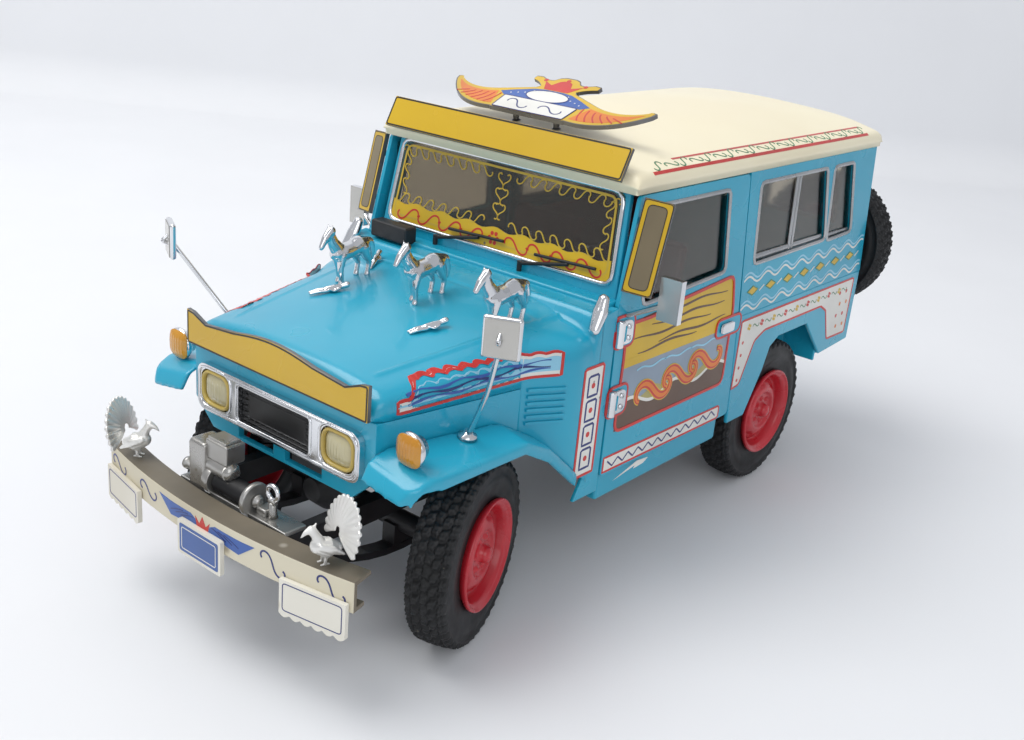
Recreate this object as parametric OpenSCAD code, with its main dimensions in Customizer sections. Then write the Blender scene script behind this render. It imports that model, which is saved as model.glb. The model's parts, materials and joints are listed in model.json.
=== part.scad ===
// Scale-model jeepney: a short-bonnet hardtop on a ladder frame, with display ornaments.
// Front of the vehicle faces -Y, the vehicle's left is +X, wheels stand on z = 0. Millimetres.

/* [Overall] */
// Distance between the two axles
wheelbase = 101.25; // [84:0.25:122]
// Width of the body across its sides
body_w = 65; // [54:0.5:78]
// Front axle to the front face of the bumper
front_reach = 34; // [28:0.5:41]
// Rear axle to the rear face of the spare wheel
rear_reach = 50; // [46:0.5:60]
// Height of the windows and pillars, from the belt line to the roof's drip rail
glasshouse_h = 31.5; // [26:0.5:38]

/* [Wheels and steering] */
// Radius of a tyre
tyre_r = 17; // [14:0.25:20.5]
// Width of a tyre
tyre_w = 7.6; // [6:0.2:9.2]
// Radius of a wheel's outer lip
rim_r = 10.1; // [8.4:0.1:12.2]
// Radius of a wheel spindle
spindle_r = 1.3; // [1:0.05:1.6]
// Radius of a kingpin
kingpin_r = 0.9; // [0.7:0.05:1.1]
// Gap between a turning piece and what carries it
running_gap = 0.08; // [0.05:0.01:0.1]
// Angle that the front wheels are steered to the left as the model stands
steer_rest = 18; // [-25:1:25]

/* [Shell] */
// Thickness of body walls, doors and roof
wall = 0.9; // [0.8:0.1:1.4]
// Thickness of clear window panes
pane = 0.5; // [0.4:0.1:0.8]
// Gap between a tyre's top and its wheel arch
arch_gap = 2.1; // [1.6:0.1:4]
// Depth of the ladder frame's rails
rail_h = 4; // [3:0.2:5]
// Height of the bumper's face
bumper_h = 5.4; // [4.4:0.2:6.6]
// Thickness of a signboard or plate
board = 0.8; // [0.6:0.1:1.2]

/* [Hidden] */
$fn = 48;

// Lengthwise stations, from the front face of the bumper to the back of the spare wheel
front_y = -(front_reach + wheelbase + rear_reach) / 2;
front_axle_y = front_y + front_reach;
rear_axle_y = front_axle_y + wheelbase;
nose_y = front_axle_y - 17.5;
cowl_y = front_axle_y + 29;
door_front_y = front_axle_y + 32.5;
door_rear_y = rear_axle_y - 23.2;
tail_y = rear_axle_y + 38.5;
spare_y = rear_axle_y + rear_reach;

// Heights above the ground
axle_z = tyre_r;
sill_z = axle_z + 2.6;
frame_top_z = axle_z + 7;
floor_z = frame_top_z + 0.3;
arch_z = 2 * tyre_r + arch_gap;
fender_z = arch_z + 4;
seam_z = fender_z + 4.1;
belt_z = arch_z + 8.9;
rail_z = belt_z + glasshouse_h;
wall_top_z = rail_z - 0.8;
roof_z = rail_z + 8;
bumper_z = axle_z + 5.1;

// Half widths
half_w = body_w / 2;
wheel_x = half_w - 4.9;
kingpin_x = wheel_x - 3.2;
steer_max = 28;
frame_x = kingpin_x - tyre_r * sin(steer_max) - 2.4;
fender_x = half_w + 2;
nose_x = half_w - 9.5;
cowl_x = half_w - 2;
roof_x = half_w - 0.9;
roof_front_y = door_front_y + 2.6;
lean = 1.2;

// Polygon with each corner rounded by radius r
CORNER_STEPS = 4;
function corner(a, b, c, r) =
    let (u = (a - b) / norm(a - b),
         v = (c - b) / norm(c - b),
         half = acos(u * v) / 2,
         s = r / tan(half),
         o = b + (u + v) / norm(u + v) * r / sin(half),
         p = b + u * s,
         q = b + v * s,
         a0 = atan2(p.y - o.y, p.x - o.x),
         a1 = atan2(q.y - o.y, q.x - o.x),
         d = a1 - a0,
         turn = d > 180 ? d - 360 : d < -180 ? d + 360 : d)
    [for (i = [0:CORNER_STEPS])
        o + r * [cos(a0 + turn * i / CORNER_STEPS), sin(a0 + turn * i / CORNER_STEPS)]];
function rounded(pts, r) =
    [for (i = [0:len(pts) - 1])
        each corner(pts[(i + len(pts) - 1) % len(pts)], pts[i], pts[(i + 1) % len(pts)], r)];
// Points on an arc of radius r about [cx, cy], from angle a to angle b
function arc(cx, cy, r, a, b, n) =
    [for (i = [0:n]) [cx + r * cos(a + (b - a) * i / n), cy + r * sin(a + (b - a) * i / n)]];

// A [y, z] outline pushed along X from x0 to x1
module along_x(pts, x0, x1) {
    translate([x0, 0, 0]) rotate([90, 0, 90]) linear_extrude(x1 - x0) polygon(pts);
}
// An [x, z] outline pushed along Y from y0 to y1
module along_y(pts, y0, y1) {
    translate([0, y1, 0]) rotate([90, 0, 0]) linear_extrude(y1 - y0) polygon(pts);
}
// The same piece on both sides of the vehicle
module both() {
    children();
    mirror([1, 0, 0]) children();
}
// A box given by its low and high corners
module block(a, b) {
    translate(a) cube(b - a);
}
// A round bar along X, Y or Z between two coordinates
module bar_x(x0, x1, y, z, r) {
    translate([x0, y, z]) rotate([0, 90, 0]) cylinder(h = x1 - x0, r = r);
}
module bar_y(y0, y1, x, z, r) {
    translate([x, y1, z]) rotate([90, 0, 0]) cylinder(h = y1 - y0, r = r);
}
// A round bar from point a to point b
module strut(a, b, r) {
    d = b - a;
    translate(a)
        rotate([0, acos(d.z / norm(d)), atan2(d.y, d.x)])
        cylinder(h = norm(d), r = r);
}

// ---- Frame, axles and springs ----

spring_w = 3;
spring_t = 1.3;
spring_x = frame_x - 1.6;
beam_r = 1.9;
saddle_h = 2.2;
hub_x = wheel_x + tyre_w / 2 - 3.6 - running_gap;
// Half length of each spring pack and the axle that it carries
SPRINGS = [
    // station, half length
    [front_axle_y, 21],
    [rear_axle_y, 24],
];

module chassis_frame() {
    rail_in = frame_x - 2.6;
    color("#2a2b2c") {
        both()
            block([rail_in, front_y + board + 3.1 + bow(frame_x), frame_top_z - rail_h],
                  [frame_x, tail_y - 3, frame_top_z]);
        for (y = [front_y + 8, cowl_y + 26, rear_axle_y - 27, rear_axle_y + 27, tail_y - 6])
            block([-rail_in, y, frame_top_z - 1.8], [rail_in, y + 3, frame_top_z - 0.6]);
        for (s = SPRINGS)
            for (e = [-1, 1])
                both()
                    block([spring_x - 1.2, s[0] + e * s[1] - 1.2, frame_top_z - rail_h - 1.2],
                          [spring_x + 1.2, s[0] + e * s[1] + 1.2, frame_top_z - rail_h]);
    }
}

module leaf_springs() {
    eye_z = frame_top_z - rail_h - 1.2 - 1.1;
    low_z = axle_z - beam_r - saddle_h - spring_t;
    color("#38393a")
        for (s = SPRINGS) {
            rise = eye_z - low_z;
            r = (s[1] * s[1] + rise * rise) / (2 * rise);
            a = asin(s[1] / r);
            both() {
                along_x(concat(arc(s[0], low_z + r, r, 270 - a, 270 + a, 10),
                               arc(s[0], low_z + r, r - spring_t, 270 + a, 270 - a, 10)),
                        spring_x - spring_w / 2, spring_x + spring_w / 2);
                for (e = [-1, 1])
                    bar_x(spring_x - spring_w / 2, spring_x + spring_w / 2, s[0] + e * s[1], eye_z, 1.1);
            }
        }
}

// Axle beam with its differential and the saddles that sit on the springs
module axle_beam(y, half_len, diff_x, diff_r) {
    bar_x(-half_len, half_len, y, axle_z, beam_r);
    // Differential housing: a drum with sloped shoulders, lying across the beam
    translate([diff_x, y, axle_z]) rotate([90, 0, 0])
        rotate_extrude()
        polygon([[0, -diff_r], [diff_r * 0.5, -diff_r], [diff_r, -diff_r * 0.4],
                 [diff_r, diff_r * 0.4], [diff_r * 0.5, diff_r], [0, diff_r]]);
    both()
        block([spring_x - 1.5, y - 2.6, axle_z - beam_r - saddle_h + 0.15],
              [spring_x + 1.5, y + 2.6, axle_z]);
}

module front_axle() {
    color("#303132")
        difference() {
            union() {
                axle_beam(front_axle_y, kingpin_x - 0.5, -6, 4.6);
                both()
                    translate([kingpin_x, front_axle_y, axle_z - 2.4]) cylinder(h = 4.8, r = 2.3);
            }
            both()
                translate([kingpin_x, front_axle_y, axle_z - 3]) cylinder(h = 6, r = kingpin_r + running_gap);
        }
}

module rear_axle() {
    color("#303132") {
        axle_beam(rear_axle_y, hub_x, 0, 5);
        both()
            bar_x(hub_x - 1, wheel_x + tyre_w / 2 - 0.8, rear_axle_y, axle_z, spindle_r);
    }
}

module gearbox() {
    color("#4a4c4e") {
        block([-6.5, front_axle_y - 9, axle_z + 6], [6.5, front_axle_y + 17, fender_z + 1]);
        block([-4.6, front_axle_y + 17, axle_z + 1.6], [4.6, cowl_y + 6, frame_top_z - 0.4]);
        block([-8, cowl_y + 11.2, axle_z + 1.2], [4, cowl_y + 24, frame_top_z - 0.4]);
        bar_y(cowl_y + 5, cowl_y + 12, -2, axle_z + 4.2, 2.2);
    }
}

module drive_shafts() {
    color("#5b5d60") {
        bar_y(front_axle_y + 4.6, cowl_y + 11.2, -6, axle_z + 2.2, 0.9);
        bar_y(cowl_y + 24, rear_axle_y - 5, 0, axle_z + 2.4, 1.1);
    }
}

module fuel_tank() {
    color("#343638")
        block([frame_x + 0.6, rear_axle_y - 47, axle_z + 0.6],
              [frame_x + 10.6, rear_axle_y - 24, frame_top_z - 0.2]);
}

module exhaust() {
    z = axle_z + 2.2;
    x = -frame_x - 3.4;
    color("#6b6a66") {
        bar_y(front_axle_y + 24, rear_axle_y - 18.4, x, z, 1);
        bar_y(rear_axle_y - 44, rear_axle_y - 30, x, z, 2.3);
        bar_x(x, -frame_x, rear_axle_y - 26, z + 1.6, 0.8);
        bar_x(x, -frame_x, front_axle_y + 28, z + 1.6, 0.8);
    }
}

// ---- Wheels ----

// Tyre on the +X side, centred on its own axle line
module tyre() {
    w = tyre_w / 2;
    bead_r = rim_r - 0.9;
    color("#35363a")
        rotate([0, 90, 0])
            rotate_extrude($fn = 96)
                polygon(concat([[bead_r, -w + 0.9], [bead_r + 0.5, -w + 0.3]],
                               arc(tyre_r - 2, -w + 2, 2, 270, 360, 4),
                               arc(tyre_r - 2, w - 2, 2, 0, 90, 4),
                               [[bead_r + 0.5, w - 0.3], [bead_r, w - 0.9]]));
}

// Dished wheel with hub bore; lip stands proud of the tyre
module rim(bore_r) {
    w = tyre_w / 2;
    bead_r = rim_r - 0.9;
    color("#c2343c")
        rotate([0, 90, 0])
            rotate_extrude($fn = 96)
                polygon([
                    [bore_r, w - 3.6], [bore_r, w - 0.4], [0, w - 0.4], [0, w + 0.8], [2.4, w + 0.8],
                    [2.9, w - 1.4], [6.2, w - 1], [8, w - 2.2], [8.4, w + 0.6], [rim_r - 0.3, w + 1],
                    [rim_r, w + 0.6], [rim_r, w], [bead_r - 0.05, w - 0.6], [bead_r - 0.05, -w + 0.3],
                    [8.3, -w + 0.3], [7.5, w - 3], [4, w - 2.6], [3.4, w - 3.6]
                ]);
}

// Pieces that steer with a front wheel: side is 1 on the left, -1 on the right
module steered(side) {
    translate([side * kingpin_x, front_axle_y, axle_z])
        rotate([0, 0, steer_rest])
        translate([-side * kingpin_x, -front_axle_y, -axle_z])
        children();
}

module on_hub(side, y) {
    translate([side * wheel_x, y, axle_z]) mirror([side < 0 ? 1 : 0, 0, 0]) children();
}

arm_l = 6;
arm_z = axle_z - 3.6;
tie_r = 0.5;

// Fork round the axle's eye, with the spindle and the steering arm
module knuckle(side) {
    fork_z = 2.4 + running_gap * 2;
    color("#3a3b3d")
        steered(side)
        mirror([side < 0 ? 1 : 0, 0, 0])
        difference() {
            union() {
                for (e = [-1, 1])
                    translate([kingpin_x, front_axle_y, axle_z + e * (fork_z + 0.6)])
                        cylinder(h = 1.2, r = 2, center = true);
                translate([kingpin_x, front_axle_y, axle_z - fork_z - 1.2])
                    cylinder(h = 2 * fork_z + 2.4, r = kingpin_r);
                for (e = [0, 1])
                    mirror([0, 0, e])
                        translate([0, 0, e * -2 * axle_z])
                        block([kingpin_x, front_axle_y - 1.6, axle_z + fork_z],
                              [kingpin_x + 3.2, front_axle_y + 1.6, axle_z + fork_z + 1.2]);
                block([kingpin_x + 2.5, front_axle_y - 1.6, axle_z - fork_z - 1.2],
                      [hub_x, front_axle_y + 1.6, axle_z + fork_z + 1.2]);
                bar_x(kingpin_x + 2.5, wheel_x + tyre_w / 2 - 0.8, front_axle_y, axle_z, spindle_r);
                block([kingpin_x - 0.8, front_axle_y, arm_z - 0.5],
                      [kingpin_x + 0.8, front_axle_y + arm_l, arm_z + 0.5]);
                translate([kingpin_x, front_axle_y + arm_l, arm_z - 0.5]) cylinder(h = 1, r = 1);
            }
            translate([kingpin_x, front_axle_y + arm_l, arm_z - 1])
                cylinder(h = 2, r = tie_r + running_gap);
        }
}

module tie_rod() {
    dx = -arm_l * sin(steer_rest);
    y = front_axle_y + arm_l * cos(steer_rest);
    eye_z = arm_z + 0.5 + running_gap;
    color("#3a3b3d") {
        for (s = [-1, 1])
            translate([s * kingpin_x + dx, y, 0]) {
                translate([0, 0, arm_z - 0.5]) cylinder(h = 1.2 + running_gap, r = tie_r);
                translate([0, 0, eye_z]) cylinder(h = 0.9, r = 1);
            }
        bar_x(-kingpin_x + dx, kingpin_x + dx, y, eye_z + 0.45, 0.35);
    }
}

module front_rim(side) {
    steered(side) on_hub(side, front_axle_y) rim(spindle_r + running_gap);
}
module front_tyre(side) {
    steered(side) on_hub(side, front_axle_y) tyre();
}
module rear_rim(side) {
    on_hub(side, rear_axle_y) rim(spindle_r + running_gap);
}
module rear_tyre(side) {
    on_hub(side, rear_axle_y) tyre();
}

// ---- Lower body ----

arch_front = rear_axle_y - 12.6;
arch_back = rear_axle_y + 23;
tail_low_z = axle_z + 10;
rear_floor_z = tail_low_z + 0.4;

// Upright wall at x, leaning in by `lean` above the belt line, limited to y0..y1
module side_wall(y0, y1) {
    along_y([[half_w - wall, sill_z - 1], [half_w, sill_z - 1], [half_w, belt_z], [half_w - lean, rail_z],
             [half_w - lean - wall, rail_z], [half_w - wall, belt_z]], y0, y1);
}

module floor_pan() {
    x = half_w - wall;
    well_x = wheel_x - tyre_w / 2 - 1;
    color("#2f3133")
        difference() {
            union() {
                block([-x, cowl_y, floor_z], [x, arch_back, floor_z + wall]);
                block([-x, arch_back - wall, floor_z], [x, arch_back, rear_floor_z + wall]);
                block([-x, arch_back - wall, rear_floor_z], [x, door_back_y - 1.2 * wall, rear_floor_z + wall]);
            }
            both()
                block([well_x - wall, arch_front - 6 - wall, floor_z - 1], [x + 1, arch_back, arch_z]);
        }
}

// Quarter panels with their wheel arches, and the inner wheel boxes
module rear_tub() {
    quarter = [
        [door_rear_y + 3.2, sill_z], [arch_front, sill_z], [rear_axle_y - 6.8, axle_z + 12.2],
        [rear_axle_y - 4.8, arch_z - 1.8], [rear_axle_y - 1.4, arch_z],
        [rear_axle_y + 12.8, arch_z], [arch_back, tail_low_z - 0.8], [tail_y, tail_low_z],
        [tail_y, belt_z], [door_rear_y + 0.8, belt_z]
    ];
    well_x = wheel_x - tyre_w / 2 - 1;
    color("#2fa6cf")
        both() {
            intersection() {
                side_wall(door_rear_y, tail_y);
                along_x(quarter, half_w - 4, half_w + 1);
            }
            difference() {
                block([well_x - wall, arch_front - 6 - wall, floor_z],
                      [half_w - wall, arch_back, arch_z + 1 + wall]);
                block([well_x, arch_front - 6, floor_z - 1],
                      [half_w + 1, arch_back - wall, arch_z + 1]);
            }
        }
}

// Firewall, cowl top and the cowl's sides ahead of the doors
module cowl() {
    color("#2fa6cf") {
        block([-half_w + wall, cowl_y - wall, frame_top_z], [half_w - wall, cowl_y, belt_z + 8]);
        both()
            along_x([[cowl_y - 4.2, sill_z], [door_front_y - 0.25, sill_z],
                     [door_front_y - 0.25, belt_z + 11], [cowl_y - wall, belt_z + 10.4],
                     [cowl_y - wall, sill_z + 6]],
                    half_w - wall, half_w);
        along_x([[cowl_y - wall, belt_z + 8], [door_front_y - 0.25, belt_z + 8],
                 [door_front_y - 0.25, belt_z + 11], [cowl_y - wall, belt_z + 10.4]],
                -half_w + wall, half_w - wall);
    }
}

DOOR_GAP = 0.25;
window_z = belt_z + 11.2;
window_top_z = rail_z - 3.4;

module door(side) {
    outline = [
        [door_front_y + DOOR_GAP, sill_z + 2.6], [door_rear_y + 2.6, sill_z + 2.6],
        [door_rear_y + 0.4, belt_z], [door_rear_y - 1.8, rail_z - 1],
        [door_front_y + 4.4, rail_z - 1], [door_front_y + DOOR_GAP, belt_z + 11]
    ];
    opening = [
        [door_front_y + 8, window_z - 1.4], [door_rear_y - 7.4, window_z],
        [door_rear_y - 9.2, window_top_z], [door_front_y + 6.6, window_top_z]
    ];
    color("#2fa6cf")
        mirror([side < 0 ? 1 : 0, 0, 0]) {
            difference() {
                intersection() {
                    side_wall(door_front_y, door_rear_y + 4);
                    along_x(rounded(outline, 1.2), half_w - 6, half_w + 1);
                }
                along_x(rounded(opening, 1.4), half_w - 7, half_w + 2);
            }
            for (z = [belt_z - 7.6, belt_z + 6])
                bar_z(half_w + 0.4, door_front_y + 1.4, z - 1.4, z + 1.4, 0.7);
        }
    color("#c9ccd0")
        mirror([side < 0 ? 1 : 0, 0, 0])
            block([half_w, door_rear_y - 6.6, belt_z - 1.6], [half_w + 0.9, door_rear_y - 2.6, belt_z - 0.5]);
}
module bar_z(x, y, z0, z1, r) {
    translate([x, y, z0]) cylinder(h = z1 - z0, r = r);
}

// ---- Hardtop ----

// Side windows behind the doors: front and rear station of each, bottom and top
function rear_window(y0, y1) = [
    [y0 + 1, window_z - 0.4], [y1 + 3.8, window_z], [y1, window_top_z], [y0, window_top_z]
];
QUARTER_WINDOWS = [
    rear_window(door_rear_y + 3.4, rear_axle_y + 11.2),
    rear_window(rear_axle_y + 14.8, rear_axle_y + 25.2)
];

module hardtop_sides() {
    color("#2fa6cf")
        both()
            difference() {
                intersection() {
                    side_wall(door_rear_y - 2, tail_y);
                    along_x([[door_rear_y + 0.9, belt_z], [tail_y, belt_z], [tail_y - 1.6, wall_top_z],
                             [door_rear_y - 1.6, wall_top_z]],
                            half_w - 6, half_w + 1);
                }
                for (w = QUARTER_WINDOWS)
                    along_x(rounded(w, 1.2), half_w - 7, half_w + 2);
            }
}

// Half width of the rear doorway, and outer face of the doors in it
doorway_x = half_w - 5.5;
doorway_low_z = tail_low_z + 2.4;
doorway_high_z = rail_z - 2.6;
door_back_y = tail_y - 0.3 * wall;

// Rear wall round the doorway
module rear_panel() {
    x = half_w - wall;
    color("#2fa6cf")
        difference() {
            along_y([[-x, tail_low_z], [x, tail_low_z], [x, belt_z], [x - lean, wall_top_z],
                     [-x + lean, wall_top_z], [-x, belt_z]], door_back_y - 1.2 * wall, door_back_y);
            block([-doorway_x, tail_y - 3, doorway_low_z], [doorway_x, tail_y + 3, doorway_high_z]);
        }
}

// Window of one rear door leaf, grown by m on each side: [low corner, high corner]
function rear_pane(m) = [[5 - m, window_z - m], [doorway_x - 4 + m, window_top_z - 1 + m]];

// Two door leaves; the left one carries the spare wheel on its boss
module rear_doors() {
    g = DOOR_GAP;
    y = door_back_y;
    w = rear_pane(0);
    color("#2fa6cf") {
        for (side = [1, -1])
            mirror([side < 0 ? 1 : 0, 0, 0]) {
                difference() {
                    block([g / 2, y - wall, doorway_low_z + g], [doorway_x - g, y, doorway_high_z - g]);
                    block([w[0].x, y - 3, w[0].y], [w[1].x, y + 3, w[1].y]);
                }
                for (z = [belt_z - 10, belt_z + 6])
                    bar_z(doorway_x - 1, y + 0.5, z - 1.4, z + 1.4, 0.6);
            }
        bar_y(y - 0.1, spare_y - 4.6, spare_x, spare_z, 2.6);
    }
}

module roof() {
    side = [[roof_x - 0.2, rail_z - 0.8], [roof_x, rail_z + 0.4], [roof_x - 0.6, rail_z + 2.6]];
    over = 1.4;
    crown = concat(side, arc(0, roof_z - 94, 94, 72.5, 107.5, 14),
                   [for (i = [2:-1:0]) [-side[i].x, side[i].y]]);
    front = roof_front_y;
    back = tail_y + 0.4;
    profile = [[front, rail_z - 1], [back, rail_z - 1], [back, rail_z + 2.4],
               [back - 3, roof_z - 2.6], [back - 12, roof_z - 0.4], [back - 30, roof_z],
               [front + 40, roof_z], [front + 14, roof_z - 1.8],
               [front + 3, rail_z + 4.2], [front, rail_z + 2.6]];
    color("#efe6c4")
        difference() {
            intersection() {
                along_y(crown, front, back);
                along_x(profile, -half_w, half_w);
            }
            intersection() {
                along_y([for (p = crown) [p.x * (1 - over / roof_x), p.y - over]], front + over, back - over);
                along_x([for (p = profile) [p.x, p.y - over]], -half_w, half_w);
            }
        }
}

glass_low_z = belt_z + 15.4;
glass_high_z = rail_z - 1.8;
screen_low = [door_front_y + 1.9, belt_z + 11.1];
screen_high = [door_front_y + 5.2, rail_z + 0.2];
module windshield_frame() {
    w = half_w - 2.4;
    color("#2fa6cf")
        difference() {
            intersection() {
                along_x([screen_low, screen_low + [1.4, 0], screen_high + [1.4, 0], screen_high],
                        -w, w);
                along_y([[-w, screen_low.y], [w, screen_low.y], [w - 1.6, screen_high.y],
                         [-w + 1.6, screen_high.y]], screen_low.x - 2, screen_high.x + 4);
            }
            along_y(rounded([[-w + 2.6, glass_low_z], [w - 2.6, glass_low_z], [w - 3.8, glass_high_z],
                             [-w + 3.8, glass_high_z]], 2), screen_low.x - 3, screen_high.x + 5);
        }
}

// Windscreen and side panes as separate sheets, set just inside the walls
module window_glass() {
    w = half_w - 2.4;
    m = 0.8;
    slope = (screen_high.x - screen_low.x) / (screen_high.y - screen_low.y);
    y_low = screen_low.x + slope * (glass_low_z - m - screen_low.y) + 1.4;
    y_high = screen_low.x + slope * (glass_high_z + m - screen_low.y) + 1.4;
    panes = concat([[[door_front_y + 7.2, window_z - 2.2], [door_rear_y - 6.6, window_z - 0.8],
                     [door_rear_y - 8.6, window_top_z + 0.8], [door_front_y + 5.8, window_top_z + 0.8]]],
                   [for (q = QUARTER_WINDOWS)
                       [q[0] + [-m, -m], q[1] + [m, -m], q[2] + [m, m], q[3] + [-m, m]]]);
    color([0.55, 0.55, 0.5, 0.4]) {
        along_x([[y_low, glass_low_z - m], [y_low + pane, glass_low_z - m],
                 [y_high + pane, glass_high_z + m], [y_high, glass_high_z + m]], -w + 3, w - 3);
        both()
            for (p = panes)
                intersection() {
                    translate([-wall, 0, 0])
                        along_y([[half_w, belt_z], [half_w - lean, rail_z], [half_w - lean - pane, rail_z],
                                 [half_w - pane, belt_z]], door_front_y, tail_y);
                    along_x(p, half_w - 6, half_w + 1);
                }
        both()
            block([rear_pane(0.8)[0].x, door_back_y - wall - pane, rear_pane(0.8)[0].y],
                  [rear_pane(0.8)[1].x, door_back_y - wall, rear_pane(0.8)[1].y]);
    }
}

// ---- Front end ----

// Half width of the engine bay's sides at station y
function bay_x(y) = nose_x + (cowl_x - nose_x) * (y - nose_y) / (cowl_y - nose_y);

// Outline of the hood at one end: half width at the seam, seam height, half width and height of the crown
function hood_end(w, z, wc, zc) = [
    [-w, z], [w, z], [w - 0.5, z + (zc - z) * 0.55], [wc + 0.5, zc - 0.7], [wc - 1.2, zc],
    [wc * 0.5, zc + 0.7], [-wc * 0.5, zc + 0.7], [-wc + 1.2, zc], [-wc - 0.5, zc - 0.7],
    [-w + 0.5, z + (zc - z) * 0.55]
];

module hood_shape(inset) {
    y0 = nose_y + inset;
    y1 = cowl_y - wall - 0.1;
    hull() {
        along_y(hood_end(nose_x - inset, seam_z - (inset > 0 ? 1 : 0), nose_x - 3 - inset, seam_z + 5.2 - inset),
                y0, y0 + 0.1);
        along_y(hood_end(bay_x(y1) - inset, seam_z - (inset > 0 ? 1 : 0), bay_x(y1) - 3.2 - inset,
                         belt_z + 9.8 - inset), y1 - 0.1, y1 + (inset > 0 ? 1 : 0));
    }
}

module hood() {
    color("#35aed3")
        difference() {
            hood_shape(0);
            hood_shape(1.1);
        }
}

// Front panel under the hood with its air slots, and the engine bay's sides
module nose_panel() {
    low_z = axle_z + 12.4;
    t = 1.2;
    color("#2fa6cf")
        difference() {
            union() {
                along_y([[-nose_x + 5, low_z], [nose_x - 5, low_z], [nose_x, low_z + 4.6],
                         [nose_x, seam_z - 0.15], [-nose_x, seam_z - 0.15], [-nose_x, low_z + 4.6]],
                        nose_y, nose_y + t);
                both()
                    translate([0, 0, arch_z - 1.6])
                        linear_extrude(seam_z - 0.15 - arch_z + 1.6)
                        polygon([[nose_x, nose_y], [bay_x(cowl_y - wall), cowl_y - wall - 0.05],
                                 [bay_x(cowl_y - wall) - t, cowl_y - wall - 0.05], [nose_x - t, nose_y]]);
            }
            both()
                block([1.5, nose_y - 1, low_z + 0.6], [10.8, nose_y + t + 1, low_z + 2.6]);
            block([-9.4, nose_y - 1, axle_z + 17], [8.8, nose_y + t + 1, axle_z + 23.6]);
        }
}

fender_tilt = 10;
// Height of a wing's upper face above the axle, at half width x
function fender_top(x) = fender_z - 0.05 - (x - nose_x) * tan(fender_tilt);

// Arched side wings: a plate that runs along Y and tips down outwards
module front_fenders() {
    y = front_axle_y;
    t = 1.1;
    // Upper edge of the plate beside the engine bay, front to rear
    top = [[y - 21, fender_z - 4.4], [y - 19.4, fender_z - 1.6], [y - 15.6, fender_z],
           [y + 7, fender_z - 0.3], [y + 14.5, fender_z - 4], [y + 27, sill_z + 6.2]];
    plate = concat(top, [for (i = [len(top) - 1:-1:0]) top[i] + (i < 2 ? [t, -0.3] : [0, i < 4 ? -t : -1.5 * t])]);
    lip = concat(top, [for (i = [len(top) - 1:-1:0]) top[i] + (i < 2 ? [1.8, -0.6] : [0, i < 4 ? -2.4 : -2.8])]);
    color("#2fa6cf")
        both()
            intersection() {
                union() {
                    translate([nose_x, 0, fender_z]) rotate([0, fender_tilt, 0]) translate([-nose_x, 0, -fender_z]) {
                        along_x(plate, nose_x - 2, fender_x + 2);
                        along_x(lip, fender_x - 1, fender_x + 2);
                    }
                }
                translate([0, 0, sill_z])
                    linear_extrude(fender_z - sill_z + 1)
                    polygon([[nose_x + 0.05, nose_y - 4], [fender_x - 3, nose_y - 3.2], [fender_x - 0.8, nose_y - 0.6],
                             [fender_x, nose_y + 4], [fender_x, y + 9], [half_w + 0.6, y + 24.75],
                             [bay_x(y + 24.75) + 0.05, y + 24.75],
                             [bay_x(nose_y) + 0.05, nose_y]]);
            }
}

module running_boards() {
    color("#2fa6cf")
        both()
            block([half_w - 4, door_front_y + 1.5, sill_z - 3.4], [half_w - 1.3, door_rear_y + 1, sill_z + 2.5]);
}

// ---- Grille and lamps ----

lamp_x = 15.7;
lamp_z = axle_z + 20.5;
module grille_bezel() {
    x = nose_x - 2.2;
    low = axle_z + 15.9;
    high = axle_z + 24.7;
    color("#c9ccd0")
        difference() {
            along_y(rounded([[-x, low], [x, low], [x, high], [-x, high]], 2), nose_y - 1.3, nose_y);
            along_y(rounded([[-9.4, low + 1.1], [8.8, low + 1.1], [8.8, high - 1.1], [-9.4, high - 1.1]], 0.8),
                    nose_y - 3, nose_y + 1);
            for (s = [-1, 1])
                along_y(rounded([[s * lamp_x - 4, lamp_z - 3.4], [s * lamp_x + 4, lamp_z - 3.4],
                                 [s * lamp_x + 4, lamp_z + 3.4], [s * lamp_x - 4, lamp_z + 3.4]], 2),
                        nose_y - 3, nose_y - 0.4);
        }
}

module grille_mesh() {
    color("#151617")
        block([-9.4, nose_y, axle_z + 17], [8.8, nose_y + 0.8, axle_z + 23.6]);
}

module headlamps() {
    color("#c8c2a0")
        for (s = [-1, 1])
            along_y(rounded([[s * lamp_x - 3.8, lamp_z - 3.2], [s * lamp_x + 3.8, lamp_z - 3.2],
                             [s * lamp_x + 3.8, lamp_z + 3.2], [s * lamp_x - 3.8, lamp_z + 3.2]], 1.9),
                    nose_y - 1.6, nose_y - 0.4);
}

module indicators() {
    x = half_w - 3.2;
    z = fender_z + 1.6;
    both() {
        color("#d9921c")
            translate([x, nose_y + 1.6, z]) rotate([90, 22.5, 0]) cylinder(h = 1.6, r = 3, $fn = 8);
        color("#c9ccd0") {
            translate([x, nose_y + 2.6, z]) rotate([90, 0, 0]) cylinder(h = 1, r = 2);
            bar_z(x, nose_y + 2.1, fender_top(x), z, 0.4);
        }
    }
}

// ---- Bumper and what it carries ----

bumper_r = 140;
bumper_x = half_w - 0.5;
// Distance of the bumper's bowed face behind its foremost point, at x
function bow(x) = bumper_r - sqrt(bumper_r * bumper_r - x * x);

module front_bumper() {
    a = asin(bumper_x / bumper_r);
    cy = front_y + board + bumper_r;
    low = bumper_z - bumper_h / 2;
    color("#cfc6ae")
        for (f = [[low, low + bumper_h, 0.9], [low + bumper_h - 0.8, low + bumper_h, 4.6], [low, low + 0.8, 3]])
            translate([0, cy, f[0]])
                linear_extrude(f[1] - f[0])
                polygon(concat(arc(0, 0, bumper_r, 270 - a, 270 + a, 16),
                               arc(0, 0, bumper_r - f[2], 270 + a, 270 - a, 16)));
}

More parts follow.
